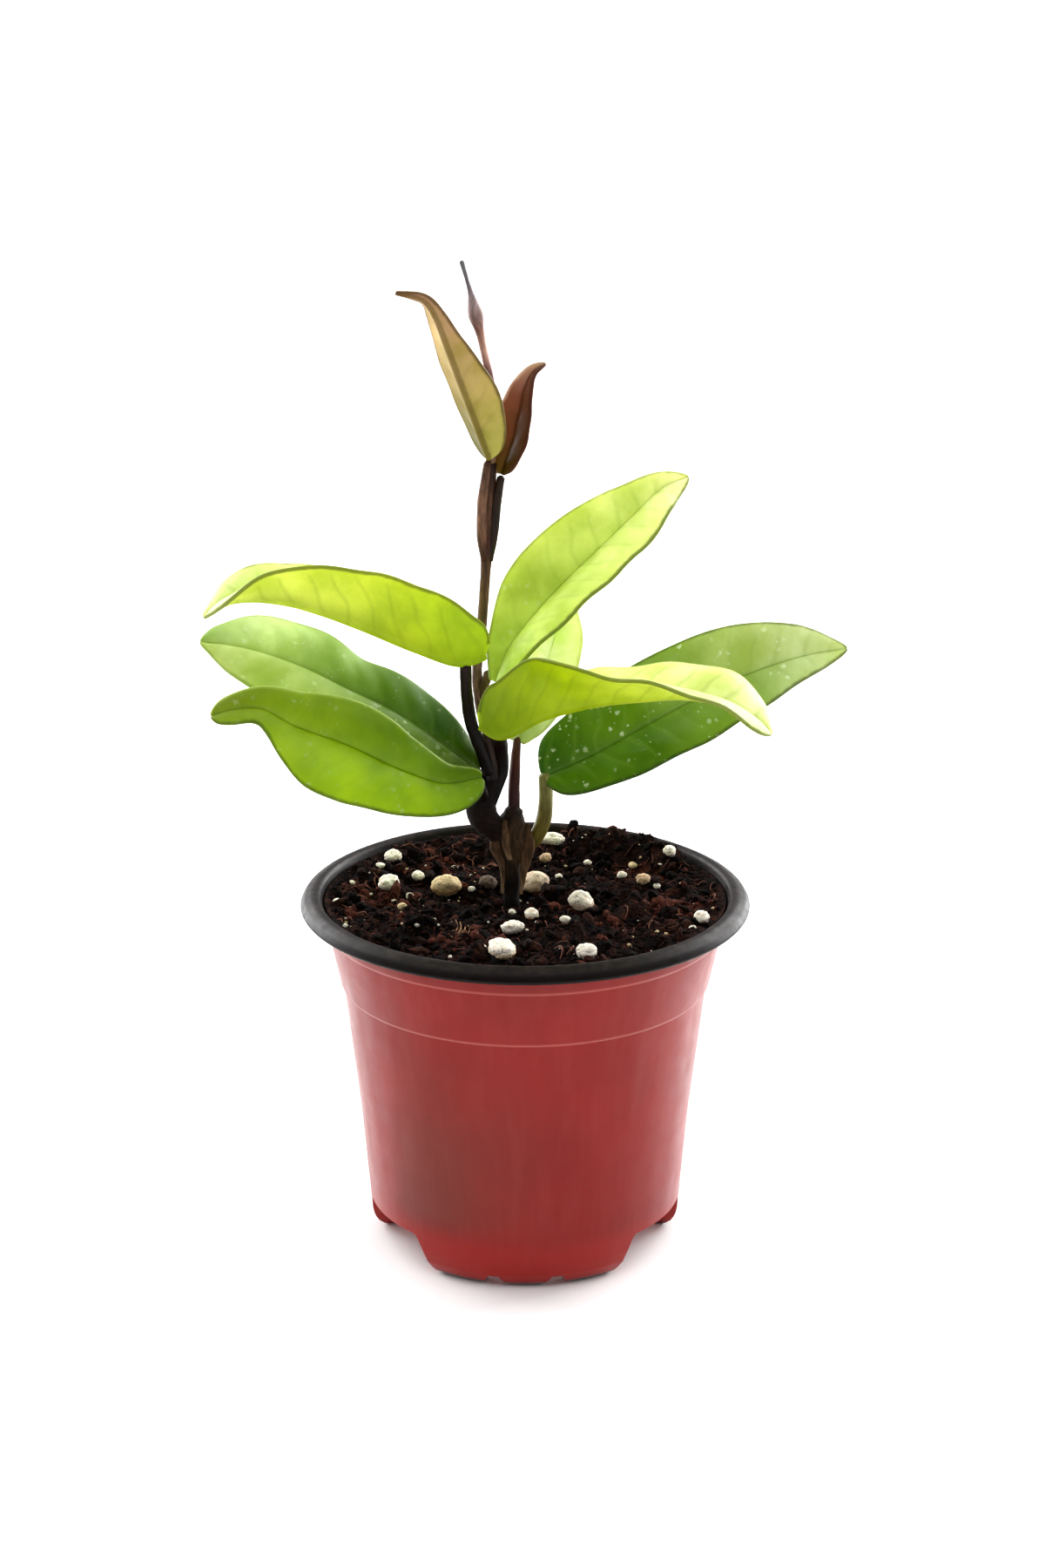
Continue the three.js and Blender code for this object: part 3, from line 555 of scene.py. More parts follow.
class Shader:
    """A node material built in short steps. Lengths in it are millimetres."""

    def __init__(self, name, **sockets):
        self.material = bpy.data.materials.new(name)
        self.material.use_nodes = True
        self.tree = self.material.node_tree
        self.surface = next(n for n in self.tree.nodes if n.type == "BSDF_PRINCIPLED")
        for key, value in sockets.items():
            self.surface.inputs[key.replace("_", " ")].default_value = value

    def feed(self, socket, value):
        if isinstance(value, bpy.types.NodeSocket):
            self.tree.links.new(value, socket)
        else:
            socket.default_value = value

    def node(self, kind, inputs, **settings):
        node = self.tree.nodes.new(kind)
        for key, value in settings.items():
            setattr(node, key, value)
        for key, value in inputs.items():
            self.feed(node.inputs[key], value)
        return node

    def to(self, socket, value):
        self.feed(self.surface.inputs[socket], value)

    def math(self, operation, a, b=0.0):
        return self.node("ShaderNodeMath", {0: a, 1: b}, operation=operation).outputs[0]

    def times(self, a, b):
        return self.math("MULTIPLY", a, b)

    def plus(self, a, b):
        return self.math("ADD", a, b)

    def spread(self, value, low, high, to_low=0.0, to_high=1.0):
        """value between low and high, spread smoothly over to_low to to_high."""
        return self.node("ShaderNodeMapRange", {
            "Value": value, "From Min": low, "From Max": high, "To Min": to_low,
            "To Max": to_high}, interpolation_type="SMOOTHSTEP").outputs["Result"]

    def mix(self, share, first, second, blend="MIX"):
        node = self.node("ShaderNodeMix", {0: share, 6: first, 7: second},
                         data_type="RGBA", blend_type=blend)
        return node.outputs[2]

    def place(self):
        """The point on the object, in millimetres."""
        coordinates = self.node("ShaderNodeTexCoord", {}).outputs["Object"]
        return self.node("ShaderNodeVectorMath", {0: coordinates, "Scale": 1 / MM},
                         operation="SCALE").outputs[0]

    def stretched(self, vector, x, y, z):
        return self.node("ShaderNodeVectorMath", {0: vector, 1: (x, y, z)},
                         operation="MULTIPLY").outputs[0]

    def parts(self, vector):
        return self.node("ShaderNodeSeparateXYZ", {0: vector}).outputs

    def attribute(self, name, output="Vector"):
        return self.node("ShaderNodeAttribute", {}, attribute_name=name).outputs[output]

    def noise(self, vector, size, detail=3.0, roughness=0.55):
        """Cloudy noise around 0.5, with features of that size."""
        return self.node("ShaderNodeTexNoise", {
            "Vector": vector, "Scale": 1 / size, "Detail": detail,
            "Roughness": roughness}).outputs[0]

    def cells(self, vector, size, feature="F1"):
        return self.node("ShaderNodeTexVoronoi", {"Vector": vector, "Scale": 1 / size},
                         feature=feature).outputs

    def bump(self, height, depth, normal=None):
        """Relief of that depth in millimetres. height runs from 0 to 1."""
        inputs = {"Height": height, "Distance": depth * MM, "Strength": 1.0}
        if normal is not None:
            inputs["Normal"] = normal
        return self.node("ShaderNodeBump", inputs).outputs[0]


def red_plastic():
    """The moulded wall: red with a soft brown smudge at the left, painted highlights along the
    lines where the wall steps, painted shade under the lip, painted floor light round the foot,
    painted contact shade on the edge that stands on the ground, and faint streaks and scuffs."""
    s = Shader("red_plastic", Specular_IOR_Level=0.2, Sheen_Weight=0.3, Sheen_Roughness=0.35)
    place = s.place()
    x, _, z = s.parts(place)
    streaks = s.noise(s.stretched(place, 1, 1, 0.06), 2.6, 4)
    clouds = s.noise(place, 22, 2)
    red = s.mix(s.spread(clouds, 0.3, 0.7), colour(142, 21, 15), colour(130, 20, 14))
    red = s.mix(s.times(s.spread(streaks, 0.4, 0.75), 0.07), red, colour(190, 90, 80))
    # the smudge, low and left of the front
    patch = s.times(s.times(s.spread(x, -33, -25), s.spread(x, 9, -22)),
                    s.times(s.spread(z, 9, 17), s.spread(z, 66, 24)))
    uneven = s.plus(0.75, s.times(s.noise(place, 15, 3), 0.4))
    red = s.mix(s.times(s.times(patch, uneven), 0.5), red, colour(100, 58, 46))
    # painted shade under the lip's overhang, and painted light from the floor round the foot
    red = s.mix(s.times(s.spread(z, 72, 75.5), 0.35), red, colour(104, 12, 6))
    red = s.mix(s.times(s.spread(z, 13, 8), 0.6), red, colour(158, 28, 18))
    # painted highlights: pale lines along the two rings where the wall steps stand in for light
    # caught by the small ledges
    for (_, ring), strength in ((POT["lower_ring"], 0.24), (POT["upper_ring"], 0.2)):
        line = s.spread(s.math("ABSOLUTE", s.math("SUBTRACT", z, ring + 0.3)), 0.6, 0.15)
        red = s.mix(s.times(line, strength), red, colour(214, 120, 108))
    # painted contact shade on the edge that stands on the ground, and a few dark specks
    painted_foot_shade = s.times(s.spread(z, 2.2, 0.2), s.spread(s.noise(place, 2, 3), 0.25, 0.55))
    red = s.mix(s.times(painted_foot_shade, 0.75), red, colour(40, 16, 14))
    specks = s.cells(place, 5)["Distance"]
    marks = s.times(s.spread(specks, 0.06, 0.03), s.spread(s.noise(place, 14, 1), 0.56, 0.64))
    s.to("Base Color", s.mix(s.times(marks, 0.7), red, colour(70, 24, 22)))
    s.to("Roughness", s.spread(s.noise(place, 5, 4), 0.2, 0.8, 0.34, 0.5))
    grain = s.noise(place, 0.45, 2)
    ripple = s.noise(s.stretched(place, 1, 1, 0.25), 12, 1)
    s.to("Normal", s.bump(grain, 0.025, s.bump(ripple, 0.5)))
    return s.material


def black_plastic():
    """The lip and the inside: black, with a painted grey highlight along the top of the lip's bend,
    and dusted with peat.
    """
    s = Shader("black_plastic", Specular_IOR_Level=0.11)
    place = s.place()
    _, _, z = s.parts(place)
    top = POT["height"]
    # painted highlight: a mottled grey band along the lip's top stands in for light reflected by
    # its bevel
    painted_bevel_highlight = s.times(s.spread(z, top - 1.6, top - 0.4), s.spread(s.noise(place, 2.5, 4), 0.35, 0.8))
    dark = s.mix(s.times(painted_bevel_highlight, 0.25), colour(9, 3, 2), colour(80, 60, 52))
    dust = s.spread(s.noise(place, 0.9, 4), 0.64, 0.8)
    s.to("Base Color", s.mix(s.times(dust, 0.14), dark, colour(96, 78, 70)))
    s.to("Roughness", s.spread(s.noise(place, 3, 3), 0.2, 0.8, 0.3, 0.5))
    s.to("Normal", s.bump(s.noise(place, 0.5, 3), 0.04))
    return s.material


def soil_material():
    """Damp peat: each clod has its own tone, with finer crumbs and threads over it."""
    s = Shader("peat", Roughness=0.9, Specular_IOR_Level=0.05)
    place = s.place()
    tint = s.attribute("tint", "Color")
    crumbs = s.cells(place, 0.9)
    tone = s.parts(crumbs["Color"])[0]
    darker = s.mix(1.0, tint, (0.35, 0.3, 0.3, 1), "MULTIPLY")
    base = s.mix(s.spread(tone, 0.2, 0.8), darker, tint)
    threads = s.noise(s.stretched(place, 1, 0.35, 1), 0.8, 4)
    lighter = s.mix(1.0, tint, (1.9, 1.7, 1.6, 1), "MULTIPLY")
    s.to("Base Color", s.mix(s.spread(threads, 0.6, 0.72), base, lighter))
    relief = s.plus(s.times(s.noise(place, 0.6, 5, 0.7), 0.6), s.times(crumbs["Distance"], 0.5))
    s.to("Normal", s.bump(relief, 0.8))
    return s.material


def tinted_material(name, roughness, grain, depth, dark):
    """A surface that takes its colour from each point's tint, with a fine grain."""
    s = Shader(name, Roughness=roughness, Specular_IOR_Level=0.06)
    place = s.place()
    tint = s.attribute("tint", "Color")
    cloud = s.noise(place, grain * 2.2, 4)
    shade = s.mix(1.0, tint, (dark, dark, dark, 1), "MULTIPLY")
    s.to("Base Color", s.mix(s.spread(cloud, 0.3, 0.7), shade, tint))
    s.to("Normal", s.bump(s.noise(place, grain, 5, 0.65), depth))
    return s.material


def perlite_material():
    """Expanded glass grains: chalky, with small dark pores and brown dust in the dips."""
    s = Shader("perlite_grain", Roughness=0.88, Specular_IOR_Level=0.3)
    place = s.place()
    tint = s.attribute("tint", "Color")
    pores = s.cells(place, 0.75)["Distance"]
    pits = s.times(s.spread(pores, 0.3, 0.14), s.spread(s.noise(place, 1.6, 2), 0.5, 0.56))
    dust = s.spread(s.noise(place, 1.1, 4), 0.46, 0.72)
    base = s.mix(s.times(dust, 0.5), tint, s.mix(1.0, tint, colour(196, 160, 120), "MULTIPLY"))
    s.to("Base Color", s.mix(s.times(pits, 0.8), base, colour(70, 48, 34)))
    relief = s.math("SUBTRACT", s.noise(place, 0.5, 4), s.times(pits, 0.8))
    s.to("Normal", s.bump(relief, 0.45))
    return s.material


def leaf_material(name, look):
    """Thick leaf skin. place holds the length along, the way across and the distance to the
    margin, all in millimetres."""
    s = Shader(name, Subsurface_Weight=look["glow"], Subsurface_Scale=0.0025,
               Specular_IOR_Level=look["shine"])
    s.surface.inputs["Subsurface Radius"].default_value = (1.1, 1.0, 0.4)
    tint = s.attribute("tint", "Color")
    place = s.attribute("place")
    length, across, margin = s.parts(place)
    beside = s.math("ABSOLUTE", across)
    flat = s.stretched(place, 1, 1, 0)
    lighter = s.mix(1.0, tint, (1.14, 1.12, 1.35, 1), "MULTIPLY")
    darker = s.mix(1.0, tint, (0.78, 0.84, 0.5, 1), "MULTIPLY")
    patches = s.noise(flat, 11, 2, 0.5)
    mottle = s.noise(flat, 2.6, 4, 0.6)
    skin = s.mix(s.spread(s.plus(s.times(patches, 0.75), s.times(mottle, 0.25)), 0.3, 0.7),
                 darker, lighter)
    # side veins leave the midrib slanting to the tip and fade before the margin
    wander = s.times(s.noise(flat, 10, 1), 4.5)
    phase = s.plus(s.math("SUBTRACT", length, s.times(beside, 0.6)), wander)
    ridge = s.math("ABSOLUTE", s.math("SUBTRACT", s.math("FRACT", s.times(phase, 1 / 6.2)), 0.5))
    veins = s.times(s.spread(ridge, 0.16, 0.0), s.spread(margin, 0.6, 4))
    net = s.cells(s.stretched(place, 1, 1.3, 0), 1.9, "DISTANCE_TO_EDGE")["Distance"]
    vein_tone = colour(*look["vein"])
    skin = s.mix(s.times(veins, look["veins"]), skin, vein_tone)
    skin = s.mix(s.times(s.spread(net, 0.07, 0.0), look["veins"] * 0.2), skin, vein_tone)
    rib = s.spread(s.plus(beside, s.times(s.noise(flat, 1.5, 2), 0.3)), 0.75, 0.2)
    skin = s.mix(s.times(rib, look["rib"]), skin, vein_tone)
    # splashes of silver, in loose clusters
    bent = s.node("ShaderNodeVectorMath", {
        0: flat, 1: s.node("ShaderNodeTexNoise", {"Vector": flat, "Scale": 0.9}).outputs["Color"]},
        operation="ADD").outputs[0]
    spots = s.cells(bent, 1.7)
    lucky = s.spread(s.parts(spots["Color"])[0], 0.66, 0.76)
    flecks = s.times(s.spread(spots["Distance"], 0.4, 0.24), lucky)
    dots = s.cells(bent, 0.85)
    fine = s.times(s.spread(dots["Distance"], 0.36, 0.2),
                   s.spread(s.parts(dots["Color"])[1], 0.72, 0.82))
    where = s.spread(s.noise(flat, 7, 2), 0.5, 0.6)
    silver = s.times(s.times(s.plus(flecks, s.times(fine, 0.8)), where), look["flecks"])
    skin = s.mix(s.math("MINIMUM", silver, 0.8), skin, colour(226, 240, 196))
    # painted margin line: dark edge tones paint the shade along the leaf's thick edge, pale ones
    # paint light caught by the edge
    uneven = s.times(s.noise(flat, 2.2, 3), 0.7)
    painted_margin_shading = s.spread(s.plus(margin, uneven), 1.35, 0.6)
    painted_margin_tone = s.mix(s.spread(across, -1, 1), *[colour(*tone) for tone in look["edges"]])
    s.to("Base Color", s.mix(s.times(painted_margin_shading, look["rim"]), skin, painted_margin_tone))
    gloss = look["gloss"]
    s.to("Roughness", s.spread(patches, 0.25, 0.75, gloss - 0.05, gloss + 0.1))
    swell = s.spread(ridge, 0.0, 0.45)
    broad = s.bump(s.times(swell, s.spread(margin, 0.5, 5)), 0.2)
    s.to("Normal", s.bump(s.noise(flat, 0.5, 3), 0.03, broad))
    return s.material


def stem_material(name, roughness, light, dark):
    """Stem skin: light and dark streaks along it, and fine cross cracks."""
    s = Shader(name, Roughness=roughness, Specular_IOR_Level=0.18)
    place = s.attribute("place")
    tint = s.attribute("tint", "Color")
    streak = s.noise(s.stretched(place, 0.22, 1, 0), 0.9, 4, 0.6)
    pale = s.mix(1.0, tint, (light, light, light, 1), "MULTIPLY")
    deep = s.mix(1.0, tint, (dark, dark, dark, 1), "MULTIPLY")
    skin = s.mix(s.spread(streak, 0.35, 0.68), deep, pale)
    spots = s.spread(s.noise(s.place(), 0.8, 3), 0.6, 0.72)
    s.to("Base Color", s.mix(s.times(spots, 0.35), skin, deep))
    cracks = s.noise(s.stretched(place, 1, 0.3, 0), 0.8, 3)
    s.to("Normal", s.bump(cracks, 0.07, s.bump(streak, 0.12)))
    return s.material


# ---------------------------------------------------------------- pot


def rounded(profile, reach, bends):
    """A line of (radius, z) with its corners cut round. bends is the points per corner."""
    points = [np.array(p, float) for p in profile]
    result = [points[0]]
    for before, corner, after in zip(points, points[1:], points[2:]):
        to_before, to_after = before - corner, after - corner
        cut = min(reach, np.linalg.norm(to_before) / 2.2, np.linalg.norm(to_after) / 2.2)
        start = corner + unit(to_before) * cut
        end = corner + unit(to_after) * cut
        for i in range(bends + 1):
            s = i / bends
            result.append((1 - s) ** 2 * start + 2 * s * (1 - s) * corner + s**2 * end)
    result.append(points[-1])
    return result


def pot_profile():
    """The pot's section in three runs: underside, red outer wall, black lip and inside."""
    upper_radius, upper_z = POT["upper_ring"]
    lower_radius, lower_z = POT["lower_ring"]
    corner, rise = POT["corner_radius"], POT["corner_height"]
    lip, mouth, top, wall = POT["lip_radius"], POT["mouth_radius"], POT["height"], POT["wall"]
    foot_outer, foot_inner, floor = POT["foot_outer"], POT["foot_inner"], POT["foot_height"]
    skirt = top - POT["lip_depth"]
    waist_radius, waist_z = POT["waist"]
    under = [(0.01, floor), (corner - 2.4, floor), (corner - 1.8, rise), (foot_inner, 0)]
    # two rows on the straight wall just above the notches, so that it shades evenly there
    over_notches = [(float(np.interp(z, (rise, waist_z), (corner, waist_radius))), z)
                    for z in (floor + 0.4, floor + 2.4)]
    outer = [(foot_outer, 0), (foot_outer + 1.6, 1.1), (corner - 0.5, 3.2), (corner, rise),
             *over_notches, POT["waist"], (lower_radius, lower_z),
             (lower_radius + POT["ledge"], lower_z + 0.4), (upper_radius - 0.1, upper_z),
             (upper_radius + 0.3, upper_z + 0.4), (upper_radius + 1.4, upper_z + 3.8),
             (mouth - 0.2, top - 3)]
    inner = [(lip - 1.5, skirt + 0.5), (lip - 0.7, skirt), (lip, skirt + 0.8),
             (lip - 0.9, top - 1.1), (lip - 2.6, top - 0.2), (mouth + 0.4, top),
             (mouth - 0.5, top - 0.5), (upper_radius - wall + 1.3, upper_z + 4),
             *pot_inside(), (0.01, floor + wall)]
    return under, outer, inner


def pot_inside(room=0.0):
    """The inner wall from the upper ring down to the floor, or a line that far inside it."""
    wall, floor = POT["wall"] + room, POT["foot_height"] + POT["wall"]
    corner = POT["corner_radius"]
    rings = [(radius - wall, z) for radius, z in
             (POT["upper_ring"], POT["lower_ring"], POT["waist"])]
    return [*rings, (corner - wall + 0.5, POT["foot_height"] + 3),
            (corner - 2.6 - room, floor + room)]


def notch_height(angle):
    """How far the foot ring is cut away at that angle from the front, in degrees."""
    height = 0.0
    for centre, half, soft, depth in NOTCHES:
        away = abs((angle - centre + 180) % 360 - 180)
        height = max(height, depth * step_between(half + soft, half - soft, away))
    return height


def drain_cutter(angle):
    """A plug that drills one drain hole through the floor."""
    turn = math.radians(angle - 90)
    spot = (DRAIN_RING * math.cos(turn) * MM, DRAIN_RING * math.sin(turn) * MM,
            POT["foot_height"] * MM)
    mesh = bpy.data.meshes.new("drain")
    with editing(mesh) as shell:
        bmesh.ops.create_cone(shell, cap_ends=True, segments=40, radius1=DRAIN_RADIUS * MM,
                              radius2=DRAIN_RADIUS * MM, depth=6 * MM)
        bmesh.ops.translate(shell, verts=shell.verts, vec=spot)
    cutter = bpy.data.objects.new("drain", mesh)
    bpy.context.scene.collection.objects.link(cutter)
    return cutter


def drill(piece, cutters):
    """Cuts the cutters out of the piece and removes them."""
    for cutter in cutters:
        cut = piece.modifiers.new("drain", "BOOLEAN")
        cut.object = cutter
        cut.operation = "DIFFERENCE"
        cut.solver = "EXACT"
    depsgraph = bpy.context.evaluated_depsgraph_get()
    drilled = bpy.data.meshes.new_from_object(piece.evaluated_get(depsgraph))
    piece.modifiers.clear()
    piece.data = drilled
    for cutter in cutters:
        bpy.data.objects.remove(cutter)


def pot_points(profile, segments, inner_foot, outer_foot, under_rows):
    """The section turned round, a little uneven, with the foot cut away at the notches. The foot
    lines are (z, radius), and the rows up to under_rows belong to the inner one."""
    unevenness = 0.2
    points = []
    for segment in range(segments):
        angle = 360 * segment / segments
        turn = math.radians(angle - 90)
        notch = notch_height(angle if angle <= 180 else angle - 360)
        for row, (radius, z) in enumerate(profile):
            if z < notch:
                face = inner_foot if row <= under_rows else outer_foot
                z, radius = notch, float(np.interp(notch, *zip(*face)))
            wobble = unevenness * rough(2 * math.cos(turn), 2 * math.sin(turn), z / 40, 1.3, 2)
            fade = min(1, z / 20) * (radius > 30) * min(1, (POT["height"] + 1 - z) / 8)
            reach = radius + wobble * fade
            points.append((reach * math.cos(turn), reach * math.sin(turn), z))
    return points


def build_pot():
    segments, bends, bend_reach, weld_reach = 360, 3, 0.5, 0.02
    under, outer, inner = pot_profile()
    profile = rounded(under + outer + inner, bend_reach, bends)
    rows = len(profile)
    under_rows = (len(under) - 1) * (bends + 1)
    red_rows = (len(under) + len(outer) - 1) * (bends + 1)
    inner_foot = sorted((z, radius) for radius, z in under[1:])
    outer_foot = sorted((z, radius) for radius, z in outer[:5])
    points = pot_points(profile, segments, inner_foot, outer_foot, under_rows)
    faces = []
    for segment in range(segments):
        ahead = (segment + 1) % segments
        for row in range(rows - 1):
            faces.append((segment * rows + row, ahead * rows + row,
                          ahead * rows + row + 1, segment * rows + row + 1))
    piece = mesh_piece("nursery_pot", points, faces, "pot_plastic", ["pot"])
    for material in (red_plastic(), black_plastic()):
        piece.data.materials.append(material)
    for index, polygon in enumerate(piece.data.polygons):
        polygon.material_index = int(index % (rows - 1) >= red_rows)
    close_up(piece, weld_reach)
    angles = [*LARGE_NOTCHES, *(360 - angle for angle in reversed(LARGE_NOTCHES))]
    drill(piece, [drain_cutter(angle) for angle in angles])
    piece.data.shade_smooth()
    piece.data.set_sharp_from_angle(angle=CRISP_EDGE)


# ---------------------------------------------------------------- soil and what lies in it


def repeatable(seed):
    """The solids' own random numbers, so that the soil's lumps lie where theirs do."""
    state = seed

    def draw():
        nonlocal state
        mask = 0xFFFFFFFF
        state = (state + 0x6D2B79F5) & mask
        mixed = ((state ^ (state >> 15)) * (1 | state)) & mask
        mixed = ((mixed + ((mixed ^ (mixed >> 7)) * (61 | mixed) & mask)) & mask) ^ mixed
        return ((mixed ^ (mixed >> 14)) & mask) / 2**32

    return draw


def soil_lumps():
    draw = repeatable(11)
    lumps = []
    for _ in range(SOIL_LUMPS):
        angle = 2 * math.pi * draw()
        distance = LUMP_REACH * math.sqrt(draw())
        height = 2.6 * draw() - 1
        lumps.append((distance * math.cos(angle), distance * math.sin(angle), height,
                      3 + 4 * draw()))
    return lumps + HEAPS


LUMPS = soil_lumps()


def soil_height(x, y):
    raised = sum(height * math.exp(-((x - cx) ** 2 + (y - cy) ** 2) / spread**2)
                 for cx, cy, height, spread in LUMPS)
    share = min(math.hypot(x, y) / SOIL_RADIUS, 1)
    lowest, highest = LUMP_RANGE
    lumpy = min(max(raised, lowest), highest) * (1 - share**24)
    return SOIL_MIDDLE + (SOIL_EDGE - SOIL_MIDDLE) * share**2 + lumpy


# size and seed of the soil's clods and of the crumbs on them
CLODS = (6.5, 3)
CRUMBS = (2.6, 40)


def clump(x, y, size, seed):
    """Rounded clods of that size: how far the point lies inside its clod, from about -0.4 at a
    crack to 0.5 in the middle, and that clod's own number from -1 to 1."""
    bend = 0.35 * noise.noise_vector(Vector((x, y, seed)) / size)
    distances, middles = noise.voronoi(Vector((x, y, seed)) / size + bend)
    return 0.5 - distances[0], noise.cell(middles[0] * 7)


def crumbled(x, y):
    """The soil's height with its clods and crumbs."""
    share = min(math.hypot(x, y) / SOIL_RADIUS, 1)
    large, own = clump(x, y, *CLODS)
    small, _ = clump(x, y, *CRUMBS)
    crumbs = (3.4 * large + 0.9 * own + 1.3 * small - 0.7
              + 0.4 * rough(x, y, 0, 1.6, 3))
    return soil_height(x, y) + min(max(crumbs, -2.6), 1.8) * (1 - share**20)


# from damp black peat to dry reddish fibre
PEAT = [colour(11, 4, 3), colour(27, 12, 8), colour(52, 27, 19), colour(92, 48, 38)]
RED_SPOTS = [
    # x, y, radius and strength of the places where reddish fibre shows
    (-33, 5, 8, 1), (-37, -9, 5, 0.6), (34, -4, 9, 0.9), (27, 20, 7, 0.7), (-18, 27, 8, 0.9),
    (-13, -24, 8, 0.8), (10, -29, 6, 0.4), (20, -12, 5, 0.4), (-24, -14, 5, 0.4),
]


def redness(x, y):
    return max(s * math.exp(-((x - cx) ** 2 + (y - cy) ** 2) / r**2) for cx, cy, r, s in RED_SPOTS)


def soil_tone(x, y):
    """Most clods are black, some brown, and the dry ones reddish."""
    _, own = clump(x, y, *CRUMBS)
    dry = redness(x, y)
    share = min(max(0.28 + 0.4 * own + 0.75 * dry * (0.6 + 0.6 * own), 0), 1) * 2.6
    low = min(int(share), 2)
    return np.array(PEAT[low]) + (np.array(PEAT[low + 1]) - np.array(PEAT[low])) * (share - low)


def build_soil():
    rings, segments = 110, 460
    floor = POT["foot_height"] + POT["wall"] + GAP
    upper_radius, upper_z = POT["upper_ring"]
    below = [(upper_radius - POT["wall"] + 1, upper_z + 4), *pot_inside(GAP)]
    points, tints = [], []
    for ring in range(1, rings + 1):
        distance = SOIL_RADIUS * ring / rings
        for segment in range(segments):
            turn = 2 * math.pi * segment / segments
            x, y = distance * math.cos(turn), distance * math.sin(turn)
            points.append((x, y, crumbled(x, y)))
            tints.append(soil_tone(x, y))
    for radius, z in below:
        for segment in range(segments):
            turn = 2 * math.pi * segment / segments
            points.append((radius * math.cos(turn), radius * math.sin(turn), z))
            tints.append(PEAT[0])
    rows = len(points) // segments
    faces = round_faces(rows, segments)
    points += [(0, 0, crumbled(0, 0)), (0, 0, floor)]
    tints += [PEAT[0], PEAT[0]]
    top, bottom = len(points) - 2, len(points) - 1
    for segment in range(segments):
        ahead = (segment + 1) % segments
        faces.append((top, ahead, segment))
        faces.append((bottom, (rows - 1) * segments + segment, (rows - 1) * segments + ahead))
    piece = mesh_piece("peat_soil", points, faces, "potting_soil", ["soil"],
                       {"tint": ("FLOAT_COLOR", tints)})
    close_up(piece)
    piece.data.materials.append(soil_material())


def turned_at_random(draw, points, scale):
    """points turned any way and stretched by scale's three parts."""
    turn = Matrix.Rotation(draw.uniform(0, 6.28), 3, Vector((draw.gauss(0, 1), draw.gauss(0, 1),
                                                             draw.gauss(0, 1))).normalized())
    rotation = np.array(turn)
    return [rotation @ (p * scale) for p in points]


def clear_of_stem(x, y, room):
    stem_x, stem_y, _ = OLD_STEM["path"][0]
    return math.hypot(x - stem_x, y - stem_y) > room


def scattered(draw, count, reach):
    """That many places over the soil, clear of the old stem."""
    for _ in range(count):
        turn, distance = draw.uniform(0, 2 * math.pi), reach * math.sqrt(draw.random())
        x, y = distance * math.cos(turn), distance * math.sin(turn)
        if clear_of_stem(x, y, 2.6):
            yield x, y


def build_crumbs():
    """Loose crumbs and small clods of peat over the whole surface."""
    draw = random.Random(21)
    heap = Heap()
    for level, count, smallest, largest in ((1, 3600, 0.2, 0.75), (2, 420, 0.7, 1.9)):
        ball_points, faces = ball(level)
        for x, y in scattered(draw, count, 43.6 if level == 1 else 42):
            size = smallest + (largest - smallest) * draw.random() ** 2
            bent = [p * draw.uniform(0.7, 1.12) for p in ball_points]
            scale = np.array([draw.uniform(0.8, 1.6), draw.uniform(0.6, 1), draw.uniform(0.5, 0.9)])
            bent = turned_at_random(draw, bent, scale * size)
            dry = redness(x, y) > draw.random() * 1.4
            tone = PEAT[3] if dry else draw.choices(PEAT, (6, 4, 2, 0.5))[0]
            centre = np.array((x, y, crumbled(x, y) + 0.2 * size))
            heap.add([centre + p for p in bent], faces, tone)
    piece = heap.piece("peat_crumbs", "potting_soil", smooth=False)
    piece.data.materials.append(tinted_material("crumb", 0.88, 0.4, 0.12, 0.4))


def build_fibres():
    """Thin bent fibres lying in the peat, more where it is dry, and a few straws."""
    draw = random.Random(5)
    heap = Heap()
    tones = [colour(70, 38, 32), colour(96, 56, 48), colour(44, 24, 18), colour(128, 84, 70)]

    def lay(x, y, turn, length, radius, tone, lift):
        path = []
        for i in range(5):
            s = i / 4 - 0.5
            px = x + s * length * math.cos(turn + 0.9 * s)
            py = y + s * length * math.sin(turn + 0.9 * s)
            if math.hypot(px, py) > 43.6:
                return
            path.append((px, py, crumbled(px, py) + 0.25 + lift * (0.25 - s * s)))
        points, faces, _ = tube(path, [radius * 0.6, radius, radius, radius * 0.5], 5, 6)
        heap.add(points, faces, tone)

    for x, y in scattered(draw, 1300, 42.5):
        if draw.random() < 0.14 + redness(x, y) * 0.75:
            lay(x, y, draw.uniform(0, 6.28), draw.uniform(1.2, 4.5), draw.uniform(0.07, 0.2),
                draw.choice(tones), draw.uniform(0, 2.0))
    # a small fan of straws in front of the stem
    straw = colour(170, 128, 96)
    for shift in (0, 0.6, 1.2, 1.9, 2.6):
        lay(-15.6 + shift, -18.5 - 0.2 * shift, math.radians(72 - 9 * shift), 6.5, 0.2, straw, 2.0)
    piece = heap.piece("peat_fibres", "potting_soil")
    piece.data.materials.append(tinted_material("fibre", 0.8, 0.5, 0.1, 0.6))


CREAM = colour(252, 244, 228)
TAN = colour(226, 200, 156)
BUFF = colour(196, 164, 132)
DULL = colour(96, 80, 66)
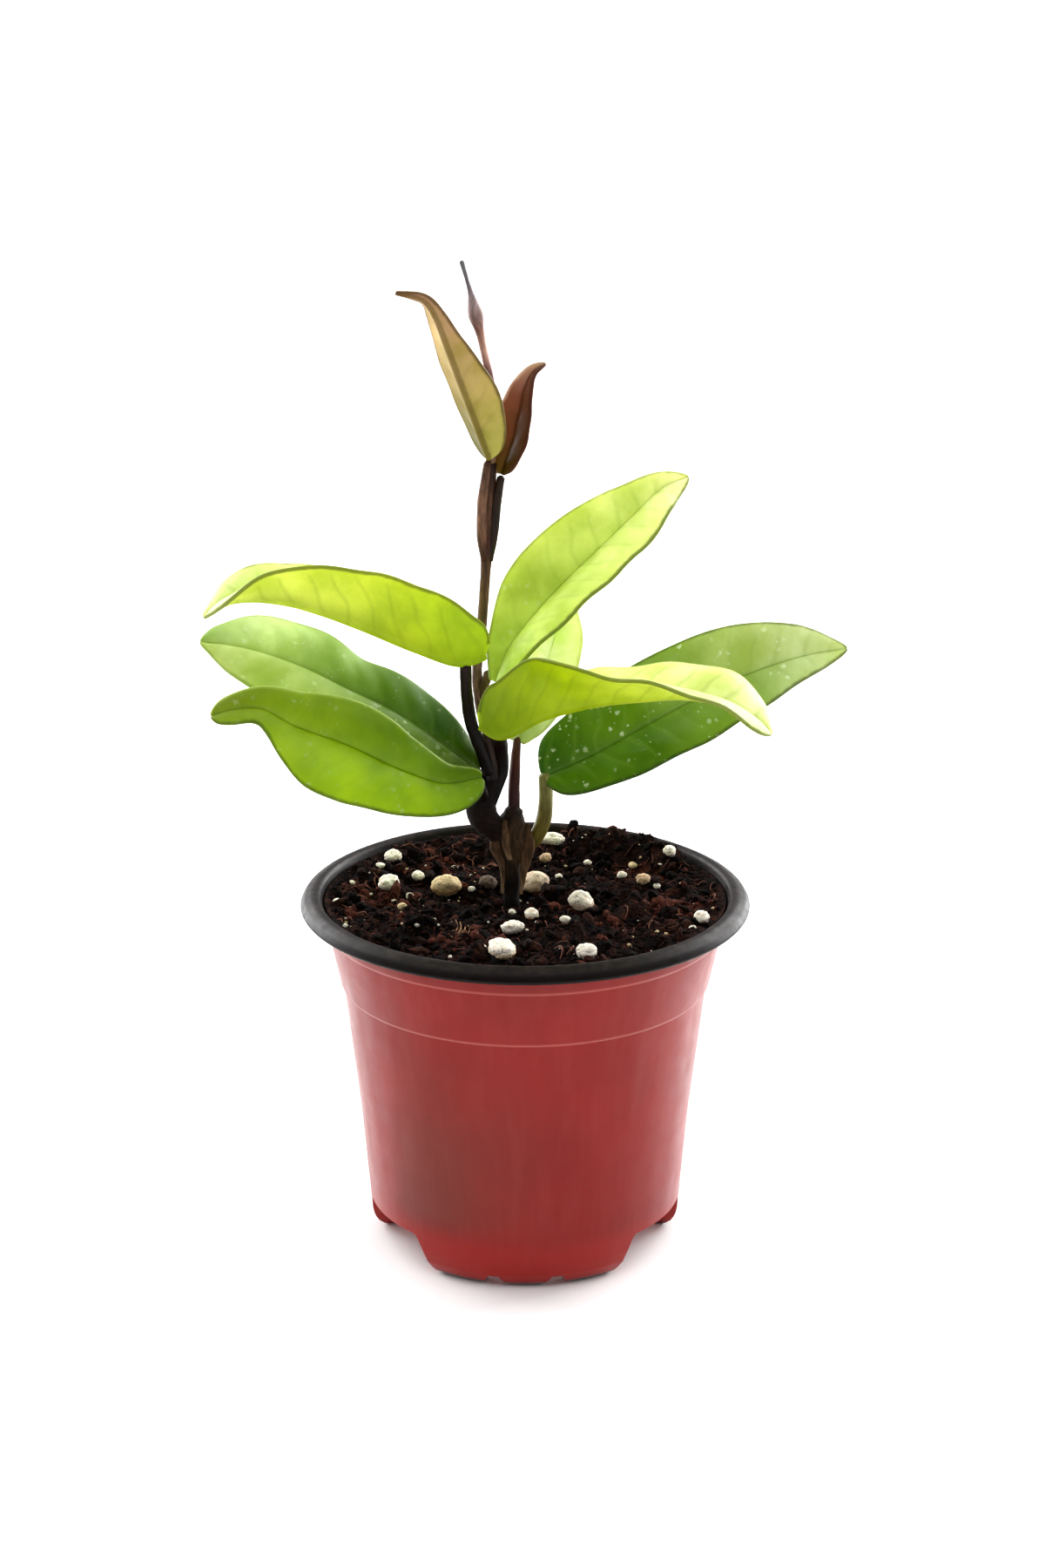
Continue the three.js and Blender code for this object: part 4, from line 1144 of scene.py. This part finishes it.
# the tones at the top and at the foot of the granules that aren't cream all over; a darker foot
# tone is painted shade beneath the granule
GRAIN_TONES = {1: (TAN, colour(206, 168, 110)), 2: (colour(236, 214, 188), BUFF),
               4: (CREAM, colour(214, 190, 160)), 5: (CREAM, TAN), 11: (DULL, DULL),
               13: (BUFF, BUFF), 14: (BUFF, TAN), 15: (CREAM, BUFF)}
SMALL_GRAINS = [
    # x, y and radius of the smaller grains that show
    (22, 17.2, 1.1), (-32.9, 17.5, 1.2), (-26, 6, 1.1), (-27.3, -3.2, 1.1), (-12, 7.6, 0.9),
    (-16.3, 27.6, 0.8), (-2.9, -3.8, 0.9), (24.7, 24.3, 1), (29.6, 9.3, 0.9),
    (14.4, 26.1, 0.9), (7.7, 17.1, 0.9), (8.8, -11.4, 1.2), (36.3, -19.5, 0.9), (-41.8, -1, 1),
    (-39.2, -16.5, 0.7), (-38.9, 7.8, 0.7), (-23.4, -19.7, 0.8),
]


def grain(draw, points, centre, half):
    """A knobbly granule that fills the given half sizes."""
    shift = Vector((draw.uniform(0, 50), draw.uniform(0, 50), draw.uniform(0, 50)))
    shape = []
    for p in points:
        swell = 0.9 + 0.2 * noise.fractal(Vector(p) * 0.9 + shift, 1.0, 2.0, 3)
        knob = 0.07 * noise.noise(Vector(p) * 3.1 + shift)
        shape.append(p * (swell + knob))
    top = np.max(np.abs(shape), axis=0)
    return [centre + p / top * half for p in shape]


def build_perlite():
    material = perlite_material()
    fine, fine_faces = ball(4)
    for index in range(1, 17):
        node = f"perlite_{index}"
        low, high = [np.array(corner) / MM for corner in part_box(node)]
        draw = random.Random(200 + index)
        heap = Heap()
        heap.add(grain(draw, fine, (low + high) / 2, (high - low) / 2), fine_faces, CREAM)
        # each granule's tone runs from its foot tone below to its top tone above; where the foot is
        # darker this is painted shade
        top, foot = [np.array(tone) for tone in GRAIN_TONES.get(index, (CREAM, CREAM))]
        heights = [(p[2] - low[2]) / (high[2] - low[2]) for p in heap.points]
        heap.tints = [foot + (top - foot) * step_between(0.3, 0.75, h) for h in heights]
        piece = heap.piece(f"grain_{index}", "perlite", replaces=[node])
        piece.data.materials.append(material)
    coarse, coarse_faces = ball(2)
    draw = random.Random(31)
    heap = Heap()
    spots = list(SMALL_GRAINS)  # and the specks between them
    for _ in range(150):
        turn, distance = draw.uniform(0, 2 * math.pi), 42 * math.sqrt(draw.random())
        spots.append((distance * math.cos(turn), distance * math.sin(turn),
                      0.16 + 0.34 * draw.random() ** 2))
    for x, y, radius in spots:
        if not clear_of_stem(x, y, 3.0):
            continue
        half = radius * np.array([draw.uniform(0.9, 1.2), draw.uniform(0.8, 1), 0.8])
        centre = np.array((x, y, crumbled(x, y) + 0.35 * radius))
        heap.add(grain(draw, coarse, centre, half), coarse_faces, draw.choice([CREAM, CREAM, TAN]))
    piece = heap.piece("small_grains", "perlite")
    piece.data.materials.append(material)


# ---------------------------------------------------------------- stems


def stem_piece(name, slot, parts, material, replaces):
    """One mesh of several rods. Each part gives its rod and its tints from foot to top."""
    points, faces, places, tints = [], [], [], []
    for part in parts:
        more, rows, spots = tube(part["path"], part["radii"], 24, seed=len(points),
                                 dents=part.get("dents", 0.1), squeeze=part.get("squeeze", 1.0))
        first = len(points)
        points += more
        faces += [tuple(first + i for i in face) for face in rows]
        places += spots
        stops = [np.array(colour(*stop)) for stop in part["tints"]]
        tints += [blended(stops, spot[2]) for spot in spots]
    attributes = {"place": ("FLOAT_VECTOR", places), "tint": ("FLOAT_COLOR", tints)}
    piece = mesh_piece(name, points, faces, slot, replaces, attributes)
    piece.data.materials.append(material)
    close_up(piece)


def blended(stops, t):
    """The colour at share t of evenly spaced stops."""
    place = min(max(t, 0), 1) * (len(stops) - 1)
    start = min(int(place), len(stops) - 2)
    return stops[start] + (stops[start + 1] - stops[start]) * (place - start)


def build_stems():
    bark_skin = stem_material("bark_skin", 0.8, 1.5, 0.5)
    dark_skin = stem_material("dark_skin", 0.5, 1.5, 0.6)
    young_skin = stem_material("young_skin", 0.45, 1.25, 0.75)
    papery = [(150, 122, 92), (104, 78, 56), (92, 66, 44), (70, 48, 30)]
    stem_piece("old_cutting", "old_bark", [
        {**OLD_STEM, "tints": [(8, 3, 3), (9, 4, 3), (14, 7, 4), (70, 50, 30), (30, 16, 10)],
         "dents": 0.4},
        {**KNEE, "tints": [(58, 38, 24), (30, 15, 12), (24, 10, 10), (16, 6, 5), (12, 4, 3)],
         "dents": 0.4},
        *[{**strip, "tints": papery, "dents": 0.25, "squeeze": 0.45} for strip in BARK],
    ], bark_skin, ["old_stem"])
    stem_piece("main_stem_skin", "stem_bark", [
        {**MAIN_STEM, "tints": [(10, 3, 2), (60, 42, 32), (104, 78, 66), (112, 86, 74),
                                (98, 70, 56), (92, 64, 46), (52, 20, 8), (78, 48, 30),
                                (30, 14, 6)]},
        {**YOUNG_STALKS[0], "tints": [(52, 18, 8), (120, 84, 66), (60, 34, 16)]},
        {**YOUNG_STALKS[1], "tints": [(34, 8, 2), (26, 6, 2), (36, 20, 6)]},
    ], dark_skin, ["main_stem"])
    stem_piece("shoot", "young_shoot", [
        {**SHOOT_TIP, "tints": [(120, 90, 60), (150, 110, 118), (160, 120, 132),
                                (150, 112, 120), (128, 90, 90), (206, 160, 140),
                                (130, 90, 76), (150, 128, 124), (110, 100, 104),
                                (90, 92, 96)], "dents": 0.08},
    ], young_skin, ["shoot_tip"])
    tones = {
        "stalk_large_right": [(84, 70, 14), (104, 92, 30), (126, 124, 66)],
        "stalk_back": [(12, 3, 2), (52, 14, 10), (66, 26, 16), (80, 50, 24)],
        "stalk_upright": [(60, 36, 24), (104, 84, 44)],
    }
    for name, stalk in STALKS.items():
        tints = tones.get(name, [(9, 2, 1), (14, 4, 3), (24, 7, 4)])
        stem_piece(f"{name}_skin", "leaf_stalk", [{**stalk, "tints": tints}],
                   young_skin if name in tones else dark_skin, [name])


# ---------------------------------------------------------------- leaves


def leaf_row(leaf, curve, turn, chord):
    """What one row across a leaf needs: its middle, its directions and its half widths."""
    t = (1 - math.cos(math.pi * turn)) / 2
    tangent = curve.tangent(t)
    tangent = unit(tangent + (chord - tangent) * leaf["steady"])
    up = np.array(leaf["face"], float)
    up = unit(up - tangent * (up @ tangent))
    side = np.cross(tangent, up)
    halves = []
    for hand, widths, rises in ((-1, "left", "left_rise"), (1, "right", "right_rise")):
        rise = math.radians(along(leaf[rises], t))
        out = side * hand * math.cos(rise) + up * math.sin(rise)
        over = -side * hand * math.sin(rise) + up * math.cos(rise)
        halves.append((hand, along(leaf[widths], turn), out, over))
    return t, curve.point(t), halves


def leaf_columns(width):
    """Distances from the midrib over one half: even, then closing in on the margin."""
    soft = min(0.45, width * 0.4)
    inner = [width * share for share in (0.0, 0.03, 0.07, 0.12)]
    body = [width * 0.12 + (width - soft - width * 0.12) * i / 11 for i in range(1, 12)]
    rim = [width - soft * (1 - s) for s in (0.35, 0.65, 0.86, 1.0)]
    return inner + body + rim, soft


def leaf_half(leaf, length, t, middle, half):
    """The points over one half of a row, from the midrib out. Each has its spot on the leaf's
    middle sheet, its place for the material, the thickness there and its share of the half."""
    hand, width, out, over = half
    widest = max(leaf["left"] + leaf["right"])
    distances, soft = leaf_columns(width)
    steps = []
    for distance in distances:
        share = distance / width
        pillow = leaf["bulge"] * 4 * share * (1 - share) * width / widest
        ripple = (leaf["wave"] * min(1, width / 4) * share**2
                  * math.sin(math.pi * (EDGE_RIPPLES * t + hand)))
        full = THICK_MIDDLE + (THICK_MARGIN - THICK_MIDDLE) * share**2
        full = max(full * min(1, 0.45 + width / 8), THINNEST)
        inward = max(0.0, 1 - (width - distance) / soft) if distance > width - soft else 0
        round_off = math.sqrt(max(0.0, 1 - inward**2))
        steps.append((middle + out * distance + over * (pillow + ripple),
                      (t * length, hand * distance, width - distance),
                      full * round_off, share * hand))
    return steps


def leaf_grid(leaf, curve, rows):
    """The leaf's points, row by row and from its left margin to its right one."""
    ends = np.array(leaf["midrib"], float)
    chord = unit(ends[-1] - ends[0])
    grid = []
    for row in range(rows + 1):
        t, middle, halves = leaf_row(leaf, curve, row / rows, chord)
        left, right = [leaf_half(leaf, curve.length, t, middle, half) for half in halves]
        grid.append(left[:0:-1] + right)
    return grid


def leaf_faces(rows, columns):
    """Faces of a leaf's upper side, its underside and the rim between them."""
    size = (rows + 1) * columns
    faces = []
    for row in range(rows):
        for column in range(columns - 1):
            a, b = row * columns + column, (row + 1) * columns + column
            faces.append((a, a + 1, b + 1, b))
            faces.append((size + a, size + b, size + b + 1, size + a + 1))
        for column in (0, columns - 1):
            a, b = row * columns + column, (row + 1) * columns + column
            faces.append((a, b, size + b, size + a))
    for row in (0, rows):
        for column in range(columns - 1):
            a = row * columns + column
            faces.append((a, a + 1, size + a + 1, size + a))
    return faces


def build_leaf(name, leaf, look):
    rows, weld_reach, groove_depth, groove_width = 72, 0.004, 0.22, 0.5
    curve = Curve(leaf["midrib"])
    grid = leaf_grid(leaf, curve, rows)
    sheet = np.array([[step[0] for step in line] for line in grid])
    normals = np.cross(np.gradient(sheet, axis=1), np.gradient(sheet, axis=0))
    normals /= np.maximum(np.linalg.norm(normals, axis=2, keepdims=True), 1e-9)
    blend = look.get("blend", 0.35)
    points, places, tints = [], [], []
    for face, sign in (("upper", 1), ("under", -1)):
        left, right = [[np.array(colour(*stop)) for stop in half] for half in look[face]]
        for row, line in enumerate(grid):
            t = line[0][1][0] / curve.length
            first, second = blended(left, t), blended(right, t)
            for column, (spot, place, thickness, share) in enumerate(line):
                groove = (groove_depth * math.exp(-(abs(place[1]) / groove_width) ** 2)
                          * min(1, thickness))
                lift = thickness / 2 - sign * groove
                points.append(spot + normals[row, column] * sign * lift)
                places.append(place)
                tints.append(first + (second - first) * step_between(-blend, blend, share))
    faces = leaf_faces(rows, sheet.shape[1])
    attributes = {"place": ("FLOAT_VECTOR", places), "tint": ("FLOAT_COLOR", tints)}
    piece = mesh_piece(f"{name}_blade", points, faces, leaf_slot(name), [name], attributes)
    piece.data.materials.append(leaf_material(f"{name}_skin", look))
    close_up(piece, weld_reach)
    piece.data.shade_smooth()


def leaf_slot(node):
    """The material slot that the record gives the node."""
    return next(p["material_slot"] for p in frame["record"]["subparts"] if p["node"] == node)


# ---------------------------------------------------------------- room, light and camera


FLOOR_RADIUS = 14  # metres
CAMERA_PLACE = (-0.0006, -0.682, 0.3286)
CAMERA_TILT = math.radians(71.9)  # from looking straight down
CAMERA_LENS = 75


def build_room():
    mesh = bpy.data.meshes.new("floor")
    with editing(mesh) as shell:
        bmesh.ops.create_circle(shell, cap_ends=True, segments=96, radius=FLOOR_RADIUS)
    floor = bpy.data.objects.new("floor", mesh)
    bpy.context.scene.collection.objects.link(floor)
    s = Shader("white_floor", Roughness=0.8, Specular_IOR_Level=0.2)
    s.surface.inputs["Base Color"].default_value = (0.95, 0.95, 0.95, 1)
    floor.data.materials.append(s.material)
    # the surroundings are brighter behind the object than in front of it
    world = bpy.data.worlds.new("studio")
    world.use_nodes = True
    nodes, links = world.node_tree.nodes, world.node_tree.links
    background = next(n for n in nodes if n.type == "BACKGROUND")
    background.inputs["Color"].default_value = (1, 1, 1, 1)
    direction = nodes.new("ShaderNodeTexCoord")
    axes = nodes.new("ShaderNodeSeparateXYZ")
    links.new(direction.outputs["Generated"], axes.inputs[0])
    brightness = nodes.new("ShaderNodeMapRange")
    links.new(axes.outputs["Y"], brightness.inputs["Value"])
    for socket, value in zip(("From Min", "From Max", "To Min", "To Max"), (-1, 0.3, 0.24, 0.62)):
        brightness.inputs[socket].default_value = value
    links.new(brightness.outputs["Result"], background.inputs["Strength"])
    bpy.context.scene.world = world


def softbox(name, place, aim, size, power):
    light = bpy.data.lights.new(name, "AREA")
    light.shape = "RECTANGLE"
    light.size, light.size_y = size
    light.energy = power
    lamp = bpy.data.objects.new(name, light)
    lamp.location = place
    lamp.rotation_euler = (Vector(aim) - Vector(place)).to_track_quat("-Z", "Y").to_euler()
    bpy.context.scene.collection.objects.link(lamp)


def build_lights():
    softbox("ceiling", (0, 2.2, 4), (0, 2.2, 0), (14, 11), 480)
    softbox("left", (-0.8, 0.7, 0.35), (0, 0, 0.08), (0.8, 1.0), 19)
    softbox("right", (0.8, 0.7, 0.35), (0, 0, 0.08), (0.8, 1.0), 23)


def build_camera():
    data = bpy.data.cameras.new("camera")
    data.lens = CAMERA_LENS
    data.sensor_width = 36
    camera = bpy.data.objects.new("camera", data)
    camera.location = CAMERA_PLACE
    camera.rotation_euler = (CAMERA_TILT, 0, 0)
    bpy.context.scene.collection.objects.link(camera)
    bpy.context.scene.camera = camera


# ---------------------------------------------------------------- assembly

bpy.context.scene.view_settings.view_transform = "Standard"
build_camera()
build_room()
build_lights()
build_pot()
build_soil()
build_crumbs()
build_fibres()
build_perlite()
build_stems()
for leaf_name, leaf_shape in LEAVES.items():
    build_leaf(leaf_name, leaf_shape, LOOKS[leaf_name])
